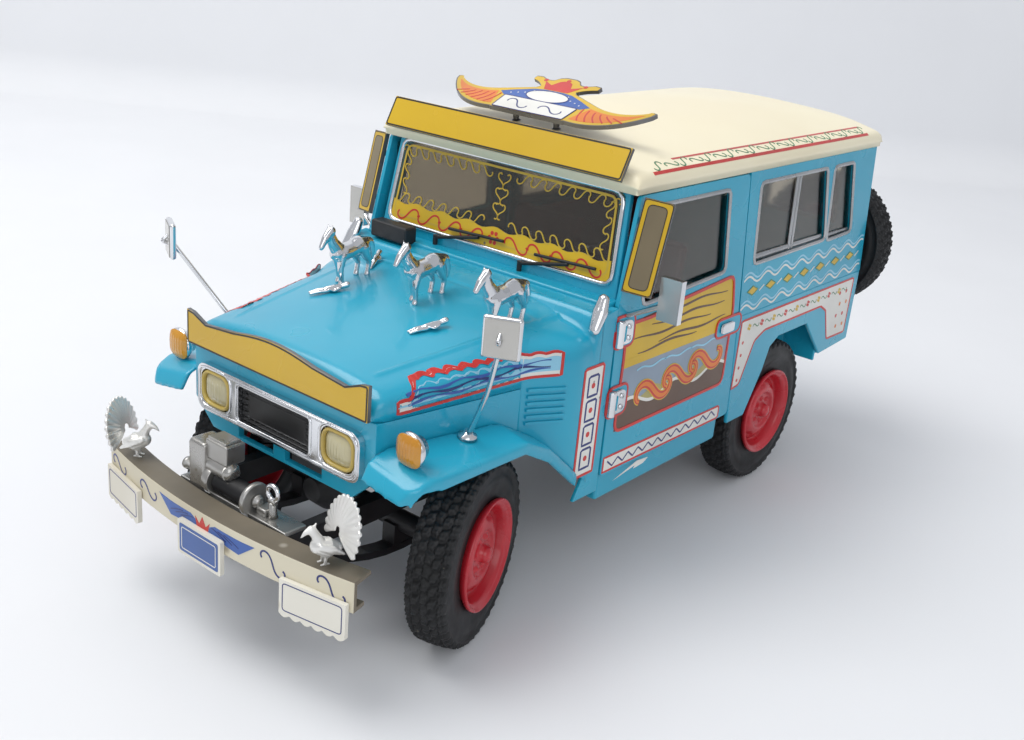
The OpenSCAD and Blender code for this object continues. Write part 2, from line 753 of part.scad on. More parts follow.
top_z = bumper_z + bumper_h / 2;
module winch() {
    y = front_y + 8.2;
    color("#b9bcc0") {
        block([-11, y - 1.6, frame_top_z], [-6.6, y + 3.6, top_z + 8.4]);
        block([-7, y - 1, top_z + 5.4], [-1.6, y + 3, top_z + 9.2]);
        bar_x(-6.8, -0.8, y + 0.4, top_z + 4.4, 1.7);
        bar_x(-14.6, 4.6, y + 0.6, top_z + 1.6, 0.9);
        bar_x(-6.8, -5, y + 0.6, top_z + 1.6, 2.8);
        bar_x(3.6, 4.6, y + 0.6, top_z + 1.6, 3);
        block([-frame_x, y - 1.4, frame_top_z], [frame_x, y + 3.4, top_z]);
        bar_z(8.2, y + 1, frame_top_z, top_z + 2.6, 0.7);
        translate([8.2, y + 1, top_z + 3.8]) rotate([90, 0, 0]) ring(1.5, 0.5);
    }
    color("#202123") bar_x(-5.1, 3.7, y + 0.6, top_z + 1.6, 1.9);
}
module ring(r, t) {
    rotate_extrude() translate([r, 0]) circle(t, $fn = 16);
}

// Blank plates: centre x, half width, height of the lower edge, height
PLATES = [
    [-25, 6.4, -7.6, 6.6],
    [0, 5.7, -6.4, 6.3],
    [25, 6.4, -7.6, 6.6]
];
module bumper_plates() {
    for (p = PLATES) {
        x = p[0];
        color(x == 0 ? "#2f58a8" : "#e8e4d6")
            translate([x, front_y + board + bow(x), bumper_z + p[2]])
            rotate([0, 0, asin(x / bumper_r)])
            translate([-p[1], -board, 0])
            cube([2 * p[1], board, p[3]]);
    }
}

// Small perched bird with a fanned tail, beak towards -Y
module bird() {
    hull() {
        translate([0, -1.2, 3.4]) sphere(r = 1.4, $fn = 16);
        translate([0, 1.4, 2.2]) sphere(r = 1.5, $fn = 16);
    }
    translate([0, -2.4, 5.2]) sphere(r = 1.2, $fn = 16);
    translate([0, -3.2, 5]) rotate([90, 0, 0]) cylinder(h = 1.6, r1 = 0.5, r2 = 0.1, $fn = 16);
    translate([0, 2.2, 2.2]) rotate([-18, 0, 0])
        rotate([90, 0, 0]) translate([0, 0, -0.4])
        linear_extrude(0.8)
        polygon(concat([[0, -0.6]], arc(0, 0, 7.4, 30, 150, 10)));
    for (s = [-1, 1])
        bar_z(s * 0.6, 0, 0, 2.4, 0.35);
}
module bumper_birds() {
    x = bumper_x - 7.3;
    color("#d3d5d8")
        both()
            translate([x, front_y + 5.2, top_z]) rotate([0, 0, 25]) bird();
}

// ---- Signs ----

module front_signboard() {
    x = nose_x - 0.2;
    z = axle_z + 27.7;
    crest = concat([[-x, z], [x, z], [x, z + 6.2], [x - 1.6, z + 6], [x - 5, z + 4.6]],
                   [for (i = [0:12]) [10 - i * 20 / 12, z + 5.4 + 1.2 * sin(i * 15)]],
                   [[-x + 5, z + 4.6], [-x + 1.6, z + 6], [-x, z + 6.2]]);
    color("#e0b21e") along_y(crest, nose_y - 1.9, nose_y - 1.9 + board);
    color("#8a8c90")
        for (s = [-1, 1])
            block([s * 12 - 0.6, nose_y - 1.9 + board, z + 1], [s * 12 + 0.6, nose_y, z + 2.2]);
}

sign_tilt = 27;
module roof_signboard() {
    x = half_w - 3.5;
    color("#e0b21e")
        translate([0, door_front_y + 2.2, rail_z + 4.2]) rotate([-sign_tilt, 0, 0]) {
            block([-x, -board / 2, -3.1], [x, board / 2, 3.1]);
        }
    color("#8a8c90")
        for (s = [-1, 1])
            block([s * 18 - 0.6, door_front_y + 1.4, rail_z + 1.4], [s * 18 + 0.6, roof_front_y, rail_z + 2.3]);
}

// Winged emblem with a blank shield, lying back over the front of the roof on two posts
module roof_crest() {
    t = board;
    recline = 68;
    // Slope of the roof's front, between the drip edge and the crown
    slope = atan((roof_z - rail_z - 6) / 11);
    wing = concat([[2, 0.8]], arc(13, 14.8, 14, 232, 285, 6), [[24.5, 1.6], [24, 4.6]],
                  arc(14.5, 16.4, 12, 310, 240, 6), [[5, 6.4]]);
    color("#8a8c90")
        for (x = [-5, 5])
            translate([x, roof_front_y + 10, rail_z + 4.2 + 7 * tan(slope)]) rotate([slope, 0, 0])
                cylinder(h = 3.5, r = 0.6);
    color("#e8a21a")
        translate([0, roof_front_y + 6.4, roof_z - 0.9]) rotate([-recline, 0, 0]) rotate([90, 0, 0])
        linear_extrude(t) {
            polygon([[-7, 0], [7, 0], [8.4, 3], [7, 6], [3.4, 7.2], [-3.4, 7.2], [-7, 6], [-8.4, 3]]);
            polygon(wing);
            mirror([1, 0]) polygon(wing);
            polygon([[-3, 7], [3, 7], [4.2, 10], [1.8, 8.9], [0, 11], [-1.8, 8.9], [-4.2, 10]]);
        }
}

module side_boards() {
    both() {
        color("#d9b62c")
            translate([half_w + 2.1, door_front_y + 3.4, belt_z + 22]) rotate([-14, 0, 0]) rotate([0, 0, 20])
            block([-2.75, -board / 2, -8.5], [2.75, board / 2, 8.5]);
        color("#c9ccd0")
            for (z = [belt_z + 17, belt_z + 26])
                bar_x(half_w - lean * (z - belt_z) / glasshouse_h + 0.02, half_w + 1.8,
                      door_front_y + 4.1 + (z - belt_z - 22) * 0.24, z, 0.6);
    }
}

// ---- Ornaments and mirrors ----

// Standing horse, nose towards -Y, hooves at z = 0
module horse() {
    for (l = [[-1, -2.2], [1, -2.6], [-1, 2.6], [1, 2.2]])
        translate([l[0] * 0.9, l[1], 0]) cylinder(h = 5, r = 0.5);
    hull() {
        translate([0, -2.2, 5.2]) sphere(r = 1.5, $fn = 16);
        translate([0, 2.4, 5.2]) sphere(r = 1.5, $fn = 16);
    }
    hull() {
        translate([0, -2.6, 5.8]) sphere(r = 1.1, $fn = 16);
        translate([0, -4.4, 8.6]) sphere(r = 0.8, $fn = 16);
    }
    hull() {
        translate([0, -4.4, 8.6]) sphere(r = 0.9, $fn = 16);
        translate([0, -6.4, 7.4]) sphere(r = 0.5, $fn = 16);
    }
    translate([0, 3.6, 2.6]) cylinder(h = 3.4, r = 0.5);
}
hood_rise = belt_z + 9.8 - seam_z - 5.2;
hood_slope = atan(hood_rise / (cowl_y - wall - nose_y));
// Height of the hood's surface at x and station y
function hood_top(x, y) =
    let (half = bay_x(y) - 3.1)
    seam_z + 5.2 + hood_rise * (y - nose_y) / (cowl_y - wall - nose_y)
    + 0.7 * min(1, (half - 1.2 - abs(x)) / (half / 2 - 1.2)) + 0.12;
module hood_ornaments() {
    color("#d3d5d8") {
        // Horses: x, distance behind the axle
        for (h = [[-14, 11], [3.4, 13], [18.6, 15]])
            translate([h[0], front_axle_y + h[1], hood_top(h[0], front_axle_y + h[1])])
                rotate([hood_slope, 0, 0]) horse();
        // Reclining figures: x, distance behind the axle, turn
        for (f = [[-12, 4, -10], [13, 4, 12], [-17, 20, 30]])
            translate([f[0], front_axle_y + f[1], hood_top(f[0], front_axle_y + f[1])])
                rotate([hood_slope, 0, f[2]])
                hull() {
                    translate([0, -3, 0.8]) sphere(r = 0.8, $fn = 16);
                    translate([0, 3, 0.6]) sphere(r = 0.6, $fn = 16);
                }
    }
}

// Wing mirrors on stalks: side, then how far the head stands out, forwards and up from the foot
WING_MIRRORS = [
    [1, 9.6, 5.2, 20.8],
    [-1, 12, 8.7, 18.4]
];
module fender_mirrors() {
    for (m = WING_MIRRORS) {
        s = m[0];
        foot = [s * (half_w - 4.4), front_axle_y - 1.6, fender_top(half_w - 4.4)];
        head = foot + [s * m[1], -m[2], m[3]];
        color("#c9ccd0") {
            translate(foot) rotate([0, s * fender_tilt, 0]) cylinder(h = 1.2, r = 1.6);
            strut(foot + [0, 0, 0.6], head, 0.45);
            translate(head) rotate([0, 0, s * 20]) block([-3.4, -0.6, -3], [3.4, 0.8, 3.6]);
        }
    }
}

module door_mirrors() {
    both()
        color("#c9ccd0") {
            strut([half_w - 0.2, door_front_y + 3, belt_z + 9], [half_w + 5.6, door_front_y + 4.5, belt_z + 12], 0.5);
            block([half_w + 5.2, door_front_y + 4, belt_z + 9.5], [half_w + 9.6, door_front_y + 5.4, belt_z + 17.5]);
        }
}

module cowl_box() {
    color("#1d1e20")
        block([-half_w + 5, cowl_y - 0.4, belt_z + 11], [-half_w + 15, cowl_y + 3, belt_z + 14.5]);
}

module wipers() {
    y = door_front_y + 1.2;
    color("#1d1e20")
        for (x = [-14, 8]) {
            bar_z(x, y, belt_z + 10.8, belt_z + 13.5, 0.5);
            strut([x, y, belt_z + 13], [x + 11, y + 0.4, belt_z + 15.4], 0.35);
            strut([x + 3, y + 0.5, belt_z + 15.4], [x + 17, y + 0.7, belt_z + 16], 0.3);
        }
}

// ---- Interior ----

module dashboard() {
    color("#2b2c2e")
        block([-half_w + 2, door_front_y + 0.6, belt_z + 2], [half_w - 2, door_front_y + 4.4, belt_z + 8]);
}

module steering_wheel() {
    x = 13;
    c = [x, door_front_y + 11, belt_z + 7.5];
    color("#202123") {
        translate(c) rotate([-38, 0, 0]) {
            ring(6.4, 0.55);
            for (a = [0, 120, 240])
                rotate([0, 0, a]) translate([0, -0.5, -0.5]) cube([6.2, 1, 0.8]);
            cylinder(h = 1.6, r = 1.4, center = true);
        }
        strut(c, [x, door_front_y + 4, belt_z + 7.5 - 8.4], 0.8);
    }
}

SEAT_Y = door_front_y + 21;
module front_seats() {
    color("#7a2f35")
        both() {
            block([4, SEAT_Y, floor_z + wall], [22, SEAT_Y + 14, floor_z + 9]);
            along_x([[SEAT_Y + 12, floor_z + 8], [SEAT_Y + 15.5, floor_z + 8], [SEAT_Y + 18, belt_z + 14],
                     [SEAT_Y + 15.4, belt_z + 14]], 4, 22);
        }
}

module rear_benches() {
    color("#7a2f35")
        both() {
            block([wheel_x - tyre_w / 2 - 9, door_rear_y + 6, arch_z + 2], [half_w - wall - 0.3, tail_y - 6, arch_z + 5.4]);
            block([half_w - wall - 3.2, door_rear_y + 6, arch_z + 5.4], [half_w - wall - 0.7, tail_y - 6, belt_z + 9]);
            block([wheel_x - tyre_w / 2 - 8, door_rear_y + 8, floor_z + wall],
                  [wheel_x - tyre_w / 2 - 6.6, arch_back - wall - 0.3, arch_z + 2]);
        }
}

// ---- Rear ----

spare_x = half_w - 13.5;
spare_z = belt_z + 4.5;
module spare_rim() {
    translate([spare_x, spare_y - tyre_w / 2 - 1, spare_z]) rotate([0, 0, 90]) rim(0.8);
}
module spare_tyre() {
    translate([spare_x, spare_y - tyre_w / 2 - 1, spare_z]) rotate([0, 0, 90]) tyre();
}

module tail_lamps() {
    both()
        color("#b3262a")
            block([half_w - 6, tail_y - 0.3 * wall, belt_z - 8], [half_w - 2.6, tail_y + 1.2, belt_z - 2.4]);
}

chassis_frame();
front_axle();
rear_axle();
leaf_springs();
gearbox();
drive_shafts();
fuel_tank();
exhaust();
floor_pan();
rear_tub();
cowl();
door(1);  // left_door
door(-1);  // right_door
hardtop_sides();
rear_panel();
rear_doors();
roof();
windshield_frame();
window_glass();
hood();
nose_panel();
front_fenders();
running_boards();
grille_bezel();
grille_mesh();
headlamps();
indicators();
front_bumper();
winch();
bumper_plates();
bumper_birds();
front_signboard();
roof_signboard();
roof_crest();
side_boards();
hood_ornaments();
fender_mirrors();
door_mirrors();
cowl_box();
wipers();
dashboard();
steering_wheel();
front_seats();
rear_benches();
tail_lamps();
spare_rim();
spare_tyre();
knuckle(1);  // left_knuckle
knuckle(-1);  // right_knuckle
tie_rod();
front_rim(1);  // left_front_rim
front_tyre(1);  // left_front_tyre
front_rim(-1);  // right_front_rim
front_tyre(-1);  // right_front_tyre
rear_rim(1);  // left_rear_rim
rear_tyre(1);  // left_rear_tyre
rear_rim(-1);  // right_rear_rim
rear_tyre(-1);  // right_rear_tyre
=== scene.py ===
import json

import bmesh
import bpy
import numpy as np
from mathutils import Matrix, Vector


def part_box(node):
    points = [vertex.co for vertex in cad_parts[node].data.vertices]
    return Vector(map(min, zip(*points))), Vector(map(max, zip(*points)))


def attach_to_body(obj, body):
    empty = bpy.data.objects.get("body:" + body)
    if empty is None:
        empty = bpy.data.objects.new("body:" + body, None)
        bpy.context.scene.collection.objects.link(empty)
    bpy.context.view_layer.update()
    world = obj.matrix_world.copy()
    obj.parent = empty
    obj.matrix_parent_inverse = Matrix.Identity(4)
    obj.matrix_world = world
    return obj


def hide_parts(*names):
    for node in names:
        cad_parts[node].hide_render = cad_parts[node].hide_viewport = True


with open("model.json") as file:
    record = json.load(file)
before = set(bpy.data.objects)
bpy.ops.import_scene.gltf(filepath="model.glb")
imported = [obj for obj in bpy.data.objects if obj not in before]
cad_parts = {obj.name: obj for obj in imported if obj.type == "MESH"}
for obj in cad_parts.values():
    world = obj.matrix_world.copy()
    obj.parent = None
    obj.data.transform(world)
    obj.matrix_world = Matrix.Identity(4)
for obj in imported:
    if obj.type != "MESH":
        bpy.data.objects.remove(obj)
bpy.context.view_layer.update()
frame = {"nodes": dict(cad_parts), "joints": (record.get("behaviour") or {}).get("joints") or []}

MM = 0.001


def station(node):
    """Low and high corner of a CAD node in millimetres, as two arrays."""
    low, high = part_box(node)
    return np.array(low) / MM, np.array(high) / MM


# ---- Table top, lamps and camera ----
# A sheet of white paper lies under the model and is taped up behind it.
# One large soft lamp stands to the front left and the pale room fills the shadows.



def mesh_piece(name, verts, faces, materials=(), face_material=None, smooth=True):
    """Object from vertices in millimetres and faces, with its place in its mesh."""
    mesh = bpy.data.meshes.new(name)
    mesh.from_pydata((np.asarray(verts, float) * MM).tolist(), [], [list(map(int, f)) for f in faces])
    mesh.validate()
    for m in materials:
        mesh.materials.append(m)
    if face_material is not None:
        mesh.polygons.foreach_set("material_index", np.asarray(face_material, np.int32))
    mesh.polygons.foreach_set("use_smooth", np.full(len(mesh.polygons), smooth))
    mesh.update()
    piece = bpy.data.objects.new(name, mesh)
    bpy.context.scene.collection.objects.link(piece)
    return piece


def finish(name, colour, second=None, grain=400, rough=0.35, rough_spread=0.12, metal=0.0, bump=0.02,
           specks=0.0, speck_colour=(0.2, 0.18, 0.15), coat=0.0, alpha=1.0, transmission=0.0, ior=1.45,
           contrast=(0.35, 0.65)):
    """Procedural finish: two near colours mixed by noise, dust specks from Voronoi cells,
    noise on the roughness and a fine bump."""
    mat = bpy.data.materials.new(name)
    mat.use_nodes = True
    nt = mat.node_tree
    link = nt.links.new
    shader = nt.nodes["Principled BSDF"]
    second = second or tuple(c * 0.8 for c in colour)
    where = nt.nodes.new("ShaderNodeTexCoord").outputs["Object"]

    def noise(scale, detail=3.0):
        node = nt.nodes.new("ShaderNodeTexNoise")
        node.inputs["Scale"].default_value = scale
        node.inputs["Detail"].default_value = detail
        link(where, node.inputs["Vector"])
        return node.outputs["Fac"]

    ramp = nt.nodes.new("ShaderNodeValToRGB")
    ramp.color_ramp.elements[0].position, ramp.color_ramp.elements[1].position = contrast
    ramp.color_ramp.elements[0].color = (*second, 1)
    ramp.color_ramp.elements[1].color = (*colour, 1)
    link(noise(grain * 0.25), ramp.inputs["Fac"])
    shade = ramp.outputs["Color"]
    if specks:
        cells = nt.nodes.new("ShaderNodeTexVoronoi")
        cells.inputs["Scale"].default_value = grain * 0.9
        link(where, cells.inputs["Vector"])
        dots = nt.nodes.new("ShaderNodeMapRange")
        dots.inputs["From Min"].default_value = 0.05 + specks * 0.12
        dots.inputs["From Max"].default_value = 0.02 + specks * 0.05
        link(cells.outputs["Distance"], dots.inputs["Value"])
        sparse = nt.nodes.new("ShaderNodeMapRange")
        sparse.inputs["From Min"].default_value = 0.582
        sparse.inputs["From Max"].default_value = 0.6
        link(noise(grain * 0.35, 2.0), sparse.inputs["Value"])
        both = nt.nodes.new("ShaderNodeMath")
        both.operation = "MULTIPLY"
        link(dots.outputs["Result"], both.inputs[0])
        link(sparse.outputs["Result"], both.inputs[1])
        mix = nt.nodes.new("ShaderNodeMix")
        mix.data_type = "RGBA"
        link(both.outputs["Value"], mix.inputs["Factor"])
        link(shade, mix.inputs["A"])
        mix.inputs["B"].default_value = (*speck_colour, 1)
        shade = mix.outputs["Result"]
    link(shade, shader.inputs["Base Color"])
    spread = nt.nodes.new("ShaderNodeMapRange")
    spread.inputs["From Min"].default_value = 0.3
    spread.inputs["From Max"].default_value = 0.7
    spread.inputs["To Min"].default_value = max(0.02, rough - rough_spread / 2)
    spread.inputs["To Max"].default_value = min(1.0, rough + rough_spread / 2)
    link(noise(grain * 0.6), spread.inputs["Value"])
    link(spread.outputs["Result"], shader.inputs["Roughness"])
    if bump:
        relief = nt.nodes.new("ShaderNodeBump")
        relief.inputs["Strength"].default_value = 0.58
        relief.inputs["Distance"].default_value = bump * MM
        link(noise(grain * 2.5, 4.0), relief.inputs["Height"])
        link(relief.outputs["Normal"], shader.inputs["Normal"])
    shader.inputs["Metallic"].default_value = metal
    shader.inputs["Coat Weight"].default_value = coat
    shader.inputs["Coat Roughness"].default_value = 0.08
    shader.inputs["Alpha"].default_value = alpha
    shader.inputs["Transmission Weight"].default_value = transmission
    shader.inputs["IOR"].default_value = ior
    return mat


# The paper runs flat to a soft bend and then rises: y' is the distance along the view's own heading
paper_bend, paper_near, paper_half = 430.0, -1400.0, 2600.0
heading = np.array([-0.5973, 0.802])
across = np.array([0.80, 0.60])
turn = np.linspace(0, np.pi / 2, 12)
bend_radius, paper_top = 24.0, 1500.0
bend_s = paper_bend + bend_radius * np.sin(turn)
bend_z = bend_radius * (1 - np.cos(turn))
run_s = np.concatenate([[paper_near], np.linspace(-300, paper_bend - 30, 8), bend_s, [paper_bend + 60]])
run_z = np.concatenate([[0.0], np.zeros(8), bend_z, [paper_top]])
side = np.linspace(-paper_half, paper_half, 9)
S, T = np.meshgrid(run_s, side, indexing="ij")
Z = np.repeat(run_z[:, None], len(side), axis=1)
paper_xy = S[..., None] * heading + T[..., None] * across


def grid_faces(rows, cols, close_rows=False, close_cols=False):
    """Quads of a rows x cols grid of vertices, wrapped round where asked."""
    i = np.arange(rows if close_rows else rows - 1)
    j = np.arange(cols if close_cols else cols - 1)
    I, J = np.meshgrid(i, j, indexing="ij")
    I2, J2 = (I + 1) % rows, (J + 1) % cols
    return np.stack([I * cols + J, I2 * cols + J, I2 * cols + J2, I * cols + J2], -1).reshape(-1, 4)


paper_white = finish("white_paper", (0.80, 0.81, 0.83), (0.785, 0.795, 0.815), grain=60, rough=0.9,
                     bump=0.01)
paper = mesh_piece("paper_sheet", np.dstack([paper_xy, Z]).reshape(-1, 3),
                   grid_faces(len(run_s), len(side)), [paper_white])


def lamp(name, place, aim, size, power, tint=(1, 1, 1)):
    """Soft rectangular lamp at `place`, turned towards `aim`; all in metres and watts."""
    data = bpy.data.lights.new(name, "AREA")
    data.shape = "RECTANGLE"
    data.size, data.size_y = size
    data.energy = power
    data.color = tint
    obj = bpy.data.objects.new(name, data)
    obj.location = place
    obj.rotation_euler = (Vector(aim) - Vector(place)).to_track_quat("-Z", "Y").to_euler()
    bpy.context.scene.collection.objects.link(obj)


lamp("soft_key", (-0.30, -0.26, 0.80), (0, 0, 0.03), (0.6, 0.6), 5.0, (1.0, 0.99, 0.97))
lamp("soft_fill", (0.55, -0.5, 0.42), (0, 0, 0.04), (0.5, 0.5), 1.3, (0.96, 0.98, 1.0))
world = bpy.data.worlds.new("pale_room")
world.use_nodes = True
world.node_tree.nodes["Background"].inputs["Color"].default_value = (0.93, 0.95, 1.0, 1)
world.node_tree.nodes["Background"].inputs["Strength"].default_value = 0.58
bpy.context.scene.world = world
bpy.context.scene.view_settings.view_transform = "Standard"

camera_data = bpy.data.cameras.new("view")
camera_data.sensor_width = 36.0
camera_data.lens = 40.932
camera_data.clip_start = 0.01
camera = bpy.data.objects.new("view", camera_data)
camera_right = (0.76511175, 0.63807065, 0.08642828)
camera_up = (-0.292645, 0.22502615, 0.92936652)
camera_back = (0.57355288, -0.73636205, 0.35889834)
camera.matrix_world = Matrix.Translation((0.139959, -0.193605, 0.118520)) @ Matrix(
    (camera_right, camera_up, camera_back)).transposed().to_4x4()
bpy.context.scene.collection.objects.link(camera)
bpy.context.scene.camera = camera


# ---- Frame, axles, springs and exhaust ----
# Semi-matt black mouldings glued under the floor: two rails with cross members, beam axles,
# leaf springs, engine and gearbox, tank, shafts; the exhaust is painted dull grey.

def dress(node, *materials):
    """A CAD node that keeps its own shape gets its finish."""
    mesh = frame["nodes"][node].data
    mesh.materials.clear()
    for m in materials:
        mesh.materials.append(m)


def rounded_copy(node, materials, width, segments=2, angle=28, body="vehicle"):
    """Copy of a CAD node with its loose triangles merged into faces, every sharp edge rounded
    by `width` millimetres and its normals weighted by face."""
    mesh = frame["nodes"][node].data.copy()
    mesh.name = node + "_skin"
    bm = bmesh.new()
    bm.from_mesh(mesh)
    bmesh.ops.remove_doubles(bm, verts=bm.verts, dist=2e-6)
    bmesh.ops.dissolve_degenerate(bm, edges=bm.edges, dist=1e-6)
    bmesh.ops.dissolve_limit(bm, angle_limit=np.radians(1.0), verts=bm.verts, edges=bm.edges)
    bm.to_mesh(mesh)
    bm.free()
    mesh.materials.clear()
    for m in materials:
        mesh.materials.append(m)
    mesh.polygons.foreach_set("use_smooth", np.ones(len(mesh.polygons), bool))
    mesh.polygons.foreach_set("material_index", np.zeros(len(mesh.polygons), np.int32))
    piece = bpy.data.objects.new(node + "_skin", mesh)
    bpy.context.scene.collection.objects.link(piece)
    bevel = piece.modifiers.new("edges", "BEVEL")
    bevel.width = width * MM
    bevel.segments = segments
    bevel.limit_method = "ANGLE"
    bevel.angle_limit = np.radians(angle)
    bevel.harden_normals = True
    weigh = piece.modifiers.new("normals", "WEIGHTED_NORMAL")
    weigh.keep_sharp = True
    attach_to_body(piece, body)
    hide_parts(node)
    return piece


black = finish("black_moulding", (0.022, 0.022, 0.024), (0.012, 0.012, 0.013), grain=500, rough=0.5,
               rough_spread=0.2, bump=0.03, specks=0.5, speck_colour=(0.11, 0.1, 0.085))
iron_grey = finish("engine_grey", (0.07, 0.072, 0.075), (0.045, 0.046, 0.048), grain=420, rough=0.5,
                   bump=0.03, specks=0.4)
dull_grey = finish("exhaust_paint", (0.16, 0.15, 0.14), (0.10, 0.085, 0.07), grain=350, rough=0.6, bump=0.03)
for node in ("chassis_frame", "front_axle", "rear_axle", "leaf_springs", "fuel_tank", "floor_pan",
             "left_knuckle", "right_knuckle", "tie_rod", "dashboard", "steering_wheel"):
    dress(node, black)
for node in ("gearbox", "drive_shafts"):
    dress(node, iron_grey)
dress("exhaust", dull_grey)

# ---- Wheels ----
# Soft rubber tyres with a block tread moulded in, pressed over dished red rims.
# The front pair turns on the knuckles' spindles and stands steered to the left.

wheel_turn = np.radians(18.0)
rear_low, rear_high = station("left_rear_tyre")
tyre_radius = (rear_high[2] - rear_low[2]) / 2
tyre_half = (rear_high[0] - rear_low[0]) / 2
wheel_x = (rear_high[0] + rear_low[0]) / 2
axle_z = tyre_radius
rear_axle_y = (rear_high[1] + rear_low[1]) / 2
kingpin = {j["name"]: np.array(j["pos_m"]) / MM for j in frame["joints"]}["steer_left"]
front_axle_y = kingpin[1]
rim_radius = (station("left_rear_rim")[1][2] - station("left_rear_rim")[0][2]) / 2


def step(x, edge, soft):
    """0 below edge, 1 above, with a straight ramp `soft` wide."""
    return np.clip((x - edge) / soft + 0.5, 0, 1)


def tyre_surface():
    """Closed ring: a tyre section carried round the axle. Blocks are raised where the fractional
    part of (angle count + row offset + slant) is above a groove share and rows are cut by zigzag grooves."""
    around = 352
    w = tyre_half
    top = tyre_radius
    across = np.linspace(-w + 0.75, w - 0.75, 31)
    shoulder = np.radians(np.linspace(8, 90, 6))
    r_tread = top - 0.35 * (across / w) ** 2
    side_r = np.array([top - 1.75, top - 1.95, top - 3.2, top - 3.35, top - 4.6, top - 4.75,
                       rim_radius + 0.75, rim_radius + 0.1, rim_radius - 0.6, rim_radius - 0.9])
    side_x = w + np.array([-0.12, -0.28, -0.06, -0.0, -0.02, -0.12, -0.32, -0.32, -0.5, -1.0])
    left_r = np.concatenate([(top - 0.75) + 0.45 * np.sin(shoulder[::-1]) - 0.2, [top - 1.4]])
    left_x = np.concatenate([(w - 0.75) + 0.72 * np.cos(shoulder[::-1]), [w - 0.02]])
    r = np.concatenate([side_r[::-1], left_r[::-1], r_tread, left_r, side_r])
    x = np.concatenate([-side_x[::-1], -left_x[::-1], across, left_x, side_x])
    tread = np.concatenate([np.zeros(10), [0.4], np.ones(6), np.ones(31), np.ones(6), [0.4], np.zeros(10)])
    u = np.arange(around) / around
    U, X = np.meshgrid(u, x, indexing="ij")
    R = np.repeat(r[None, :], around, axis=0)
    rows = 5
    zig = 0.28 * np.abs(((U * 44) % 1) * 2 - 1) - 0.14
    lane = (X + zig + w) / (2 * w) * rows
    row = np.floor(lane)
    lane_cut = step(np.abs(lane - row - 0.5), 0.41, 0.07)
    phase = (U * 44 + 0.5 * (row % 2) + 0.22 * np.sign(np.sin(row * 2.1 + 0.4)) * (lane - row)) % 1
    groove = step(np.abs(phase - 0.5), 0.33, 0.08)
    sipe = step(0.055 - np.abs(phase - 0.5), 0.0, 0.04) * 0.35
    cut = np.clip(np.maximum(np.maximum(lane_cut, groove), sipe), 0, 1) * tread[None, :]
    R = R - 0.62 * cut
    angle = 2 * np.pi * U
    verts = np.stack([X, R * np.cos(angle), R * np.sin(angle)], -1).reshape(-1, 3)
    return verts, grid_faces(around, len(x), close_rows=True, close_cols=True)[:, ::-1]


def rim_surface():
    """Closed ring: a dished wheel section carried round the axle, its disc pressed outwards by
    bolt heads on one circle and inwards by slots on another."""
    around = 144
    w = tyre_half
    section = np.array([
        (0.0, 1.15), (0.5, 1.12), (1.0, 1.0), (1.35, 0.7), (1.5, 0.15), (1.62, -0.7), (1.9, -0.85),
        (2.3, -0.88),
        (2.7, -0.9), (3.1, -0.92), (3.5, -0.92), (3.9, -0.9), (4.15, -0.62), (4.35, -0.36), (4.6, -0.28),
        (5.0, -0.3), (5.4, -0.38), (5.8, -0.52), (6.2, -0.72), (6.6, -0.98), (7.0, -1.35), (7.3, -1.75),
        (7.55, -2.1), (7.8, -2.2), (8.0, -2.1), (8.25, -1.3), (8.5, -0.3), (8.75, 0.25), (9.1, 0.42),
        (9.45, 0.55), (9.62, 0.86), (9.85, 0.98), (10.05, 0.86), (10.1, 0.55), (10.0, 0.1), (9.3, -0.5),
        (9.12, -1.2), (9.1, -3.2), (9.12, -6.4), (9.0, -7.2), (8.6, -7.25), (8.35, -6.6), (8.25, -4.2),
        (7.6, -3.6), (6.0, -2.3), (4.2, -2.3), (3.6, -3.0), (3.2, -3.55), (1.42, -3.6), (1.4, -2.6),
        (0.0, -0.4)])
    scale = rim_radius / 10.1
    r, x = section[:, 0] * scale, section[:, 1] + w
    x[-1] = w - 2.5
    r[0], r[-1] = 1e-3, 1e-3
    u = np.arange(around) / around * 2 * np.pi
    U, R = np.meshgrid(u, r, indexing="ij")
    X = np.repeat(x[None, :], around, axis=0)
    front = np.arange(len(r)) < 24
    bolt_angle = (U % (np.pi / 3)) - np.pi / 6
    bolt = np.hypot(R * np.sin(bolt_angle), R * np.cos(bolt_angle) - 3.05 * scale)
    X = X + front * 0.55 * (1 - step(bolt, 0.42, 0.18))
    slot_angle = ((U + np.pi / 8) % (np.pi / 4)) - np.pi / 8
    slot = np.hypot(np.maximum(np.abs(R * np.sin(slot_angle)) - 0.75, 0),
                    R * np.cos(slot_angle) - 6.55 * scale)
    X = X - front * 0.7 * (1 - step(slot, 0.42, 0.25))
    verts = np.stack([X, R * np.cos(U), R * np.sin(U)], -1).reshape(-1, 3)
    return verts, grid_faces(around, len(r), close_rows=True)[:, ::-1]


spare_low, spare_high = station("spare_tyre")
spare_plane = (spare_low[1] + spare_high[1]) / 2


